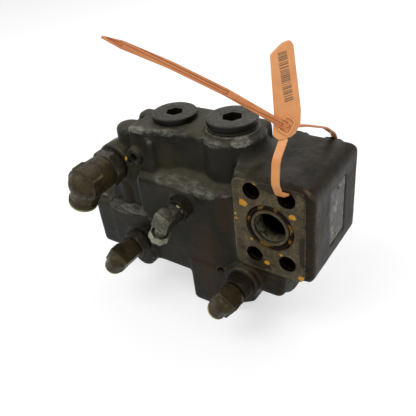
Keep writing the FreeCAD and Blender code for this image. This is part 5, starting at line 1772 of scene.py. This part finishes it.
@dataclass
class Nameplate(Assembly):
    """Bare plate and rivets in the recess on the right face."""

    def build(self) -> None:
        """Builds the plate with soft edges and dresses its rivets."""
        plate = Workshop.copy_nodes("dressed_nameplate", ["nameplate"])
        Workshop.remesh(plate, 0.25, 2, 0.12, 9.0)
        Workshop.shade(plate, 50.0)
        Workshop.mark_edges(plate, 4)
        self.keep(plate, self.finishes.plate, "plate_metal", ["nameplate"])
        self.dress(["nameplate_rivets"], self.finishes.plate)


@dataclass
class SealTag(Assembly):
    """Orange seal tag with plain printed bars. Sizes in millimetres."""

    tilt: float = 17.0
    turn: float = 37.5
    lock: Point = (13.88, 0.6, 84.3)
    tip: Point = (-62.0, -64.0, 153.0)
    bow: float = 4.0
    groove_half: tuple[float, float] = (1.15, 0.25)
    groove_depth: float = 0.7
    bar_low: float = 14.5
    bar_high: float = 43.5
    bar_reach: tuple[float, float] = (-1.5, 4.0)
    bar_rise: float = 1.2
    bar_lean: float = 0.075
    bar_lift: float = 0.73
    bar_thick: float = 0.05
    bar_widths: tuple[float, ...] = (0.35, 0.55, 0.8)
    bar_gaps: tuple[float, ...] = (0.3, 0.45, 0.9)

    def axes(self) -> tuple[Vector, Vector, Vector, Vector]:
        """Works out how the flag lies.

        Returns:
            Origin, sideways, upward and outward directions.
        """
        turn, tilt = math.radians(self.turn), math.radians(self.tilt)
        side = Vector((math.cos(turn), math.sin(turn), 0))
        facing = Vector((math.sin(turn) * math.cos(tilt), -math.cos(turn) * math.cos(tilt), math.sin(tilt)))
        return Vector(self.lock), side, facing.cross(side), facing

    def tail_path(self) -> tuple[list[Vector], Vector]:
        """Draws the middle line of the strap's free end.

        Returns:
            Its points and the crosswise direction.
        """
        origin, _, _, facing = self.axes()
        start = origin + facing * 2.0
        whole = Vector(self.tip) - start
        across = whole.normalized().cross(facing).normalized()
        rise = ((0.35, 0.85), (0.65, 0.85), (0.9, 0.3))
        middle = [start + whole * share + Vector((0, 0, self.bow * lift)) for share, lift in rise]
        return [start + whole * 0.03] + middle + [Vector(self.tip)], across

    def groove_tail(self, strap: bpy.types.Object) -> None:
        """Presses the shallow channel along the outer face of the strap's free end.

        Args:
            strap: The strap, whose points are moved.
        """
        path, across = self.tail_path()
        wide, narrow = self.groove_half
        points = Workshop.places(strap.data) / MM
        depth = np.zeros(len(points))
        push = np.zeros_like(points)
        for i, (start, end) in enumerate(zip(path, path[1:])):
            along = (end - start).normalized()
            out = across.cross(along).normalized()
            offset = points - np.array(start)
            share = (offset @ np.array(along)) / (end - start).length
            last = narrow if i == len(path) - 2 else wide
            half = wide + (last - wide) * np.clip(share, 0, 1)
            slope = np.clip((half - np.abs(offset @ np.array(across))) / 0.3, 0, 1)
            on_face = (share >= -0.03) & (share <= 1.03) & (offset @ np.array(out) > 0.1)
            press = np.where(on_face, slope * self.groove_depth, 0.0)
            stronger = press > depth
            depth = np.where(stronger, press, depth)
            push[stronger] = np.array(out)
        moved = (points - push * depth[:, None]) * MM
        strap.data.vertices.foreach_set("co", moved.astype(np.float32).ravel())
        strap.data.update()

    def print_bars(self) -> bpy.types.Object:
        """Makes the thin printed bars across the flag.

        Returns:
            The bars as one piece.
        """
        origin, side, up, facing = self.axes()
        made = bmesh.new()
        spread = np.random.default_rng(7)
        height = self.bar_low
        left, right = self.bar_reach
        while height < self.bar_high:
            thick = float(spread.choice(self.bar_widths))
            lean = (self.bar_high - height) * self.bar_lean
            corners = [(left + lean, height), (right + lean, height + self.bar_rise),
                       (right + lean, height + self.bar_rise + thick), (left + lean, height + thick)]
            verts = [made.verts.new((origin + side * a + up * v + facing * self.bar_lift) * MM)
                     for a, v in corners]
            tops = [made.verts.new(v.co + facing * self.bar_thick * MM) for v in verts]
            made.faces.new(verts)
            made.faces.new(tops[::-1])
            for i in range(4):
                made.faces.new([verts[i], tops[i], tops[(i + 1) % 4], verts[(i + 1) % 4]])
            height += thick + float(spread.choice(self.bar_gaps))
        return Workshop.from_bmesh("tag_bars", made)

    def build(self) -> None:
        """Builds the flag, the strap and the print."""
        for node in ("tag_flag", "tag_strap"):
            piece = Workshop.copy_nodes("dressed_" + node, [node])
            Workshop.remesh(piece, 0.3, 3)
            if node == "tag_strap":
                self.groove_tail(piece)
            Workshop.shade(piece, 40.0)
            Workshop.mark_edges(piece, 9 if node == "tag_flag" else 14)
            # The strap takes the darker copy of the plastic, painted shade.
            plastic = self.finishes.tag if node == "tag_flag" else self.finishes.strap
            self.keep(piece, plastic, "tag_plastic", [node])
        self.keep(self.print_bars(), self.finishes.ink, "tag_plastic", [])


@dataclass
class InnerStages(Assembly):
    """Pieces that work inside the body and keep their frame shape."""

    def build(self) -> None:
        """Dresses seats, poppets, spool, springs, seals and screws."""
        self.dress(["main_seat", "main_poppet", "relief_seat", "relief_poppet", "relief_shim", "pilot_piston",
                    "pilot_spool", "spring_cup", "check_ball"], self.finishes.ground)
        self.dress(["main_spring", "relief_spring", "pilot_spring", "check_spring"], self.finishes.wire)
        self.dress(["flange_seal"], self.finishes.seal)
        self.dress(["main_plug_seal", "relief_plug_seal", "spool_plug_seal", "cover_gasket"],
                   self.finishes.rubber)
        self.dress(["cover_screws", "blanking_screw"], self.finishes.screw)


# Studio


@dataclass
class Studio:
    """Camera, lamps, world and floor. Sizes in metres."""

    eye: Point = (0.1492, -0.2636, 0.2296)
    right: Point = (0.82886524, 0.55033442, -0.10057057)
    up: Point = (-0.24461783, 0.51818797, 0.81953849)
    back: Point = (0.5031347, -0.65468562, 0.56412961)
    lens: float = 45.0
    white: tuple[float, float, float, float] = (1.0, 1.0, 1.0, 1.0)
    sky: float = 0.55
    floor_half: float = 3.0
    floor_gap: float = 0.0002
    floor_tone: tuple[float, float, float, float] = (0.5, 0.5, 0.5, 1.0)
    floor_glow: float = 0.56
    middle: Point = (-0.06, 0.03, 0.0)

    def camera(self) -> None:
        """Places the camera at the photograph's view."""
        data = bpy.data.cameras.new("camera")
        data.lens = self.lens
        data.sensor_width = 36.0
        camera = bpy.data.objects.new("camera", data)
        turn = Matrix((self.right, self.up, self.back)).transposed().to_4x4()
        camera.matrix_world = Matrix.Translation(self.eye) @ turn
        bpy.context.scene.collection.objects.link(camera)
        bpy.context.scene.camera = camera

    def lamp(self, name: str, place: Point, size: float, power: float) -> None:
        """Hangs one square soft lamp that points at the valve.

        Args:
            name: Name of the lamp.
            place: Its place in metres.
            size: Edge length in metres.
            power: Power in watts.
        """
        data = bpy.data.lights.new(name, "AREA")
        data.size = size
        data.energy = power
        lamp = bpy.data.objects.new(name, data)
        lamp.location = place
        aim = Vector(self.middle) - Vector(place)
        lamp.rotation_euler = aim.to_track_quat("-Z", "Y").to_euler()
        bpy.context.scene.collection.objects.link(lamp)

    @staticmethod
    def node(tree: bpy.types.NodeTree, kind: str, *values: object) -> bpy.types.Node:
        """Adds one node to a tree and sets or links its inputs in order.

        Args:
            tree: The tree.
            kind: Node type without its prefix.
            values: For each input a number, a colour or a socket to link.

        Returns:
            The node.
        """
        made = tree.nodes.new("ShaderNode" + kind)
        for value, place in zip(values, made.inputs):
            if isinstance(value, bpy.types.NodeSocket):
                tree.links.new(value, place)
            else:
                place.default_value = value
        return made

    def white_rays(self, tree: bpy.types.NodeTree) -> bpy.types.NodeSocket:
        """Adds a mask that is 1 for camera, glossy and transmission rays.

        Args:
            tree: The node tree.

        Returns:
            The mask.
        """
        rays = self.node(tree, "LightPath")
        seen = rays.outputs["Is Camera Ray"]
        for name in ("Is Glossy Ray", "Is Transmission Ray"):
            either = self.node(tree, "Math", seen, rays.outputs[name])
            either.operation = "MAXIMUM"
            seen = either.outputs[0]
        return seen

    def world(self) -> None:
        """Makes a plain soft sky that looks white."""
        world = bpy.data.worlds.new("studio")
        world.use_nodes = True
        tree = world.node_tree
        tree.nodes.clear()
        soft = self.node(tree, "Background", self.white, self.sky)
        bright = self.node(tree, "Background", self.white, 1.0)
        mix = self.node(tree, "MixShader", self.white_rays(tree), soft.outputs[0], bright.outputs[0])
        self.node(tree, "OutputWorld", mix.outputs[0])
        bpy.context.scene.world = world

    def floor(self) -> None:
        """Lays a pale floor that keeps the valve's shadow."""
        height = CAD_BOX[0].z - self.floor_gap
        half = self.floor_half
        mesh = bpy.data.meshes.new("floor")
        corners = [(-half, -half, height), (half, -half, height), (half, half, height), (-half, half, height)]
        mesh.from_pydata(corners, [], [(0, 1, 2, 3)])
        floor = Workshop.link("floor", mesh)
        material = bpy.data.materials.new("floor_white")
        material.use_nodes = True
        tree = material.node_tree
        tree.nodes.clear()
        matt = self.node(tree, "BsdfDiffuse", self.floor_tone)
        strength = self.node(tree, "Math", self.white_rays(tree), self.floor_glow)
        strength.operation = "MULTIPLY"
        glow = self.node(tree, "Emission", self.white, strength.outputs[0])
        total = self.node(tree, "AddShader", matt.outputs[0], glow.outputs[0])
        self.node(tree, "OutputMaterial", total.outputs[0])
        mesh.materials.append(material)

    def build(self) -> None:
        """Builds the whole studio."""
        bpy.context.scene.view_settings.view_transform = "Standard"
        self.camera()
        self.world()
        self.floor()
        self.lamp("key_lamp", (-0.5, -0.7, 1.1), 0.9, 9.0)
        self.lamp("fill_lamp", (0.9, -0.6, 0.5), 0.8, 4.0)
        self.lamp("back_lamp", (-0.2, 1.0, 0.8), 0.8, 5.0)


def write_sizes() -> None:
    """Updates the view layer."""
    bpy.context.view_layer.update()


def main() -> None:
    """Builds the studio and every assembly in order, and reports each piece."""
    logging.basicConfig(level=logging.INFO, format="%(message)s")
    Studio().build()
    specks = ((-21.3, 16.8, 3.8), (18.5, 15.7, 2.9), (-3.3, -33.6, 2.5), (8.9, -21.6, 1.4),
              (25.7, -38.5, 3.0), (-15.6, -14.5, 1.2), (-28.6, 5.2, 1.2), (-28.1, 1.0, 1.2),
              (-10.9, 35.0, 1.1))
    finishes = Finishes(specks)
    assemblies: list[Assembly] = [
        Casting(finishes),
        BorePlug(finishes, node="main_plug", thread_r=16.5, collar_h=7.5, foot=(19.8, 1.7), neck=(17.8, 3.3)),
        BorePlug(finishes, node="relief_plug", thread_r=15.0, collar_h=5.2, socket_af=12.5),
        BorePlug(finishes, node="spool_plug", axis=Along.X, thread_r=8.6, collar_h=5.0, socket_af=8.0,
                 socket_depth=7.0, length=16.0, edge=0.8),
        Fitting(finishes, key="large", mount="tank_outlet", bore_r=7.0, shown=8.0, flare=1.2, limb_r=14.3,
                limb_front_r=14.6, ball_r=13.8, front=5.0, rounds=9),
        Fitting(finishes, key="middle", mount="vent_outlet", bore_r=3.5, form=Outlet.CROWNED, shown=13.5,
                flare=0.7, front=5.0, voxel=0.35, rounds=3, steel="pale_fitting", end_steel="crown",
                nut_steel="dark_nut", slot="pale_fitting_steel"),
        Fitting(finishes, key="pilot", mount="pilot_outlet", bore_r=5.0),
        Fitting(finishes, key="drain", mount="drain_outlet", bore_r=5.0, nut_steel="dark_nut"),
        Nameplate(finishes),
        SealTag(finishes),
        InnerStages(finishes),
    ]
    for assembly in assemblies:
        assembly.build()
        for piece in assembly.made:
            LOG.info("%s: %s, %d points", type(assembly).__name__, piece.name, len(piece.data.vertices))
    write_sizes()


if __name__ == "__main__":
    main()
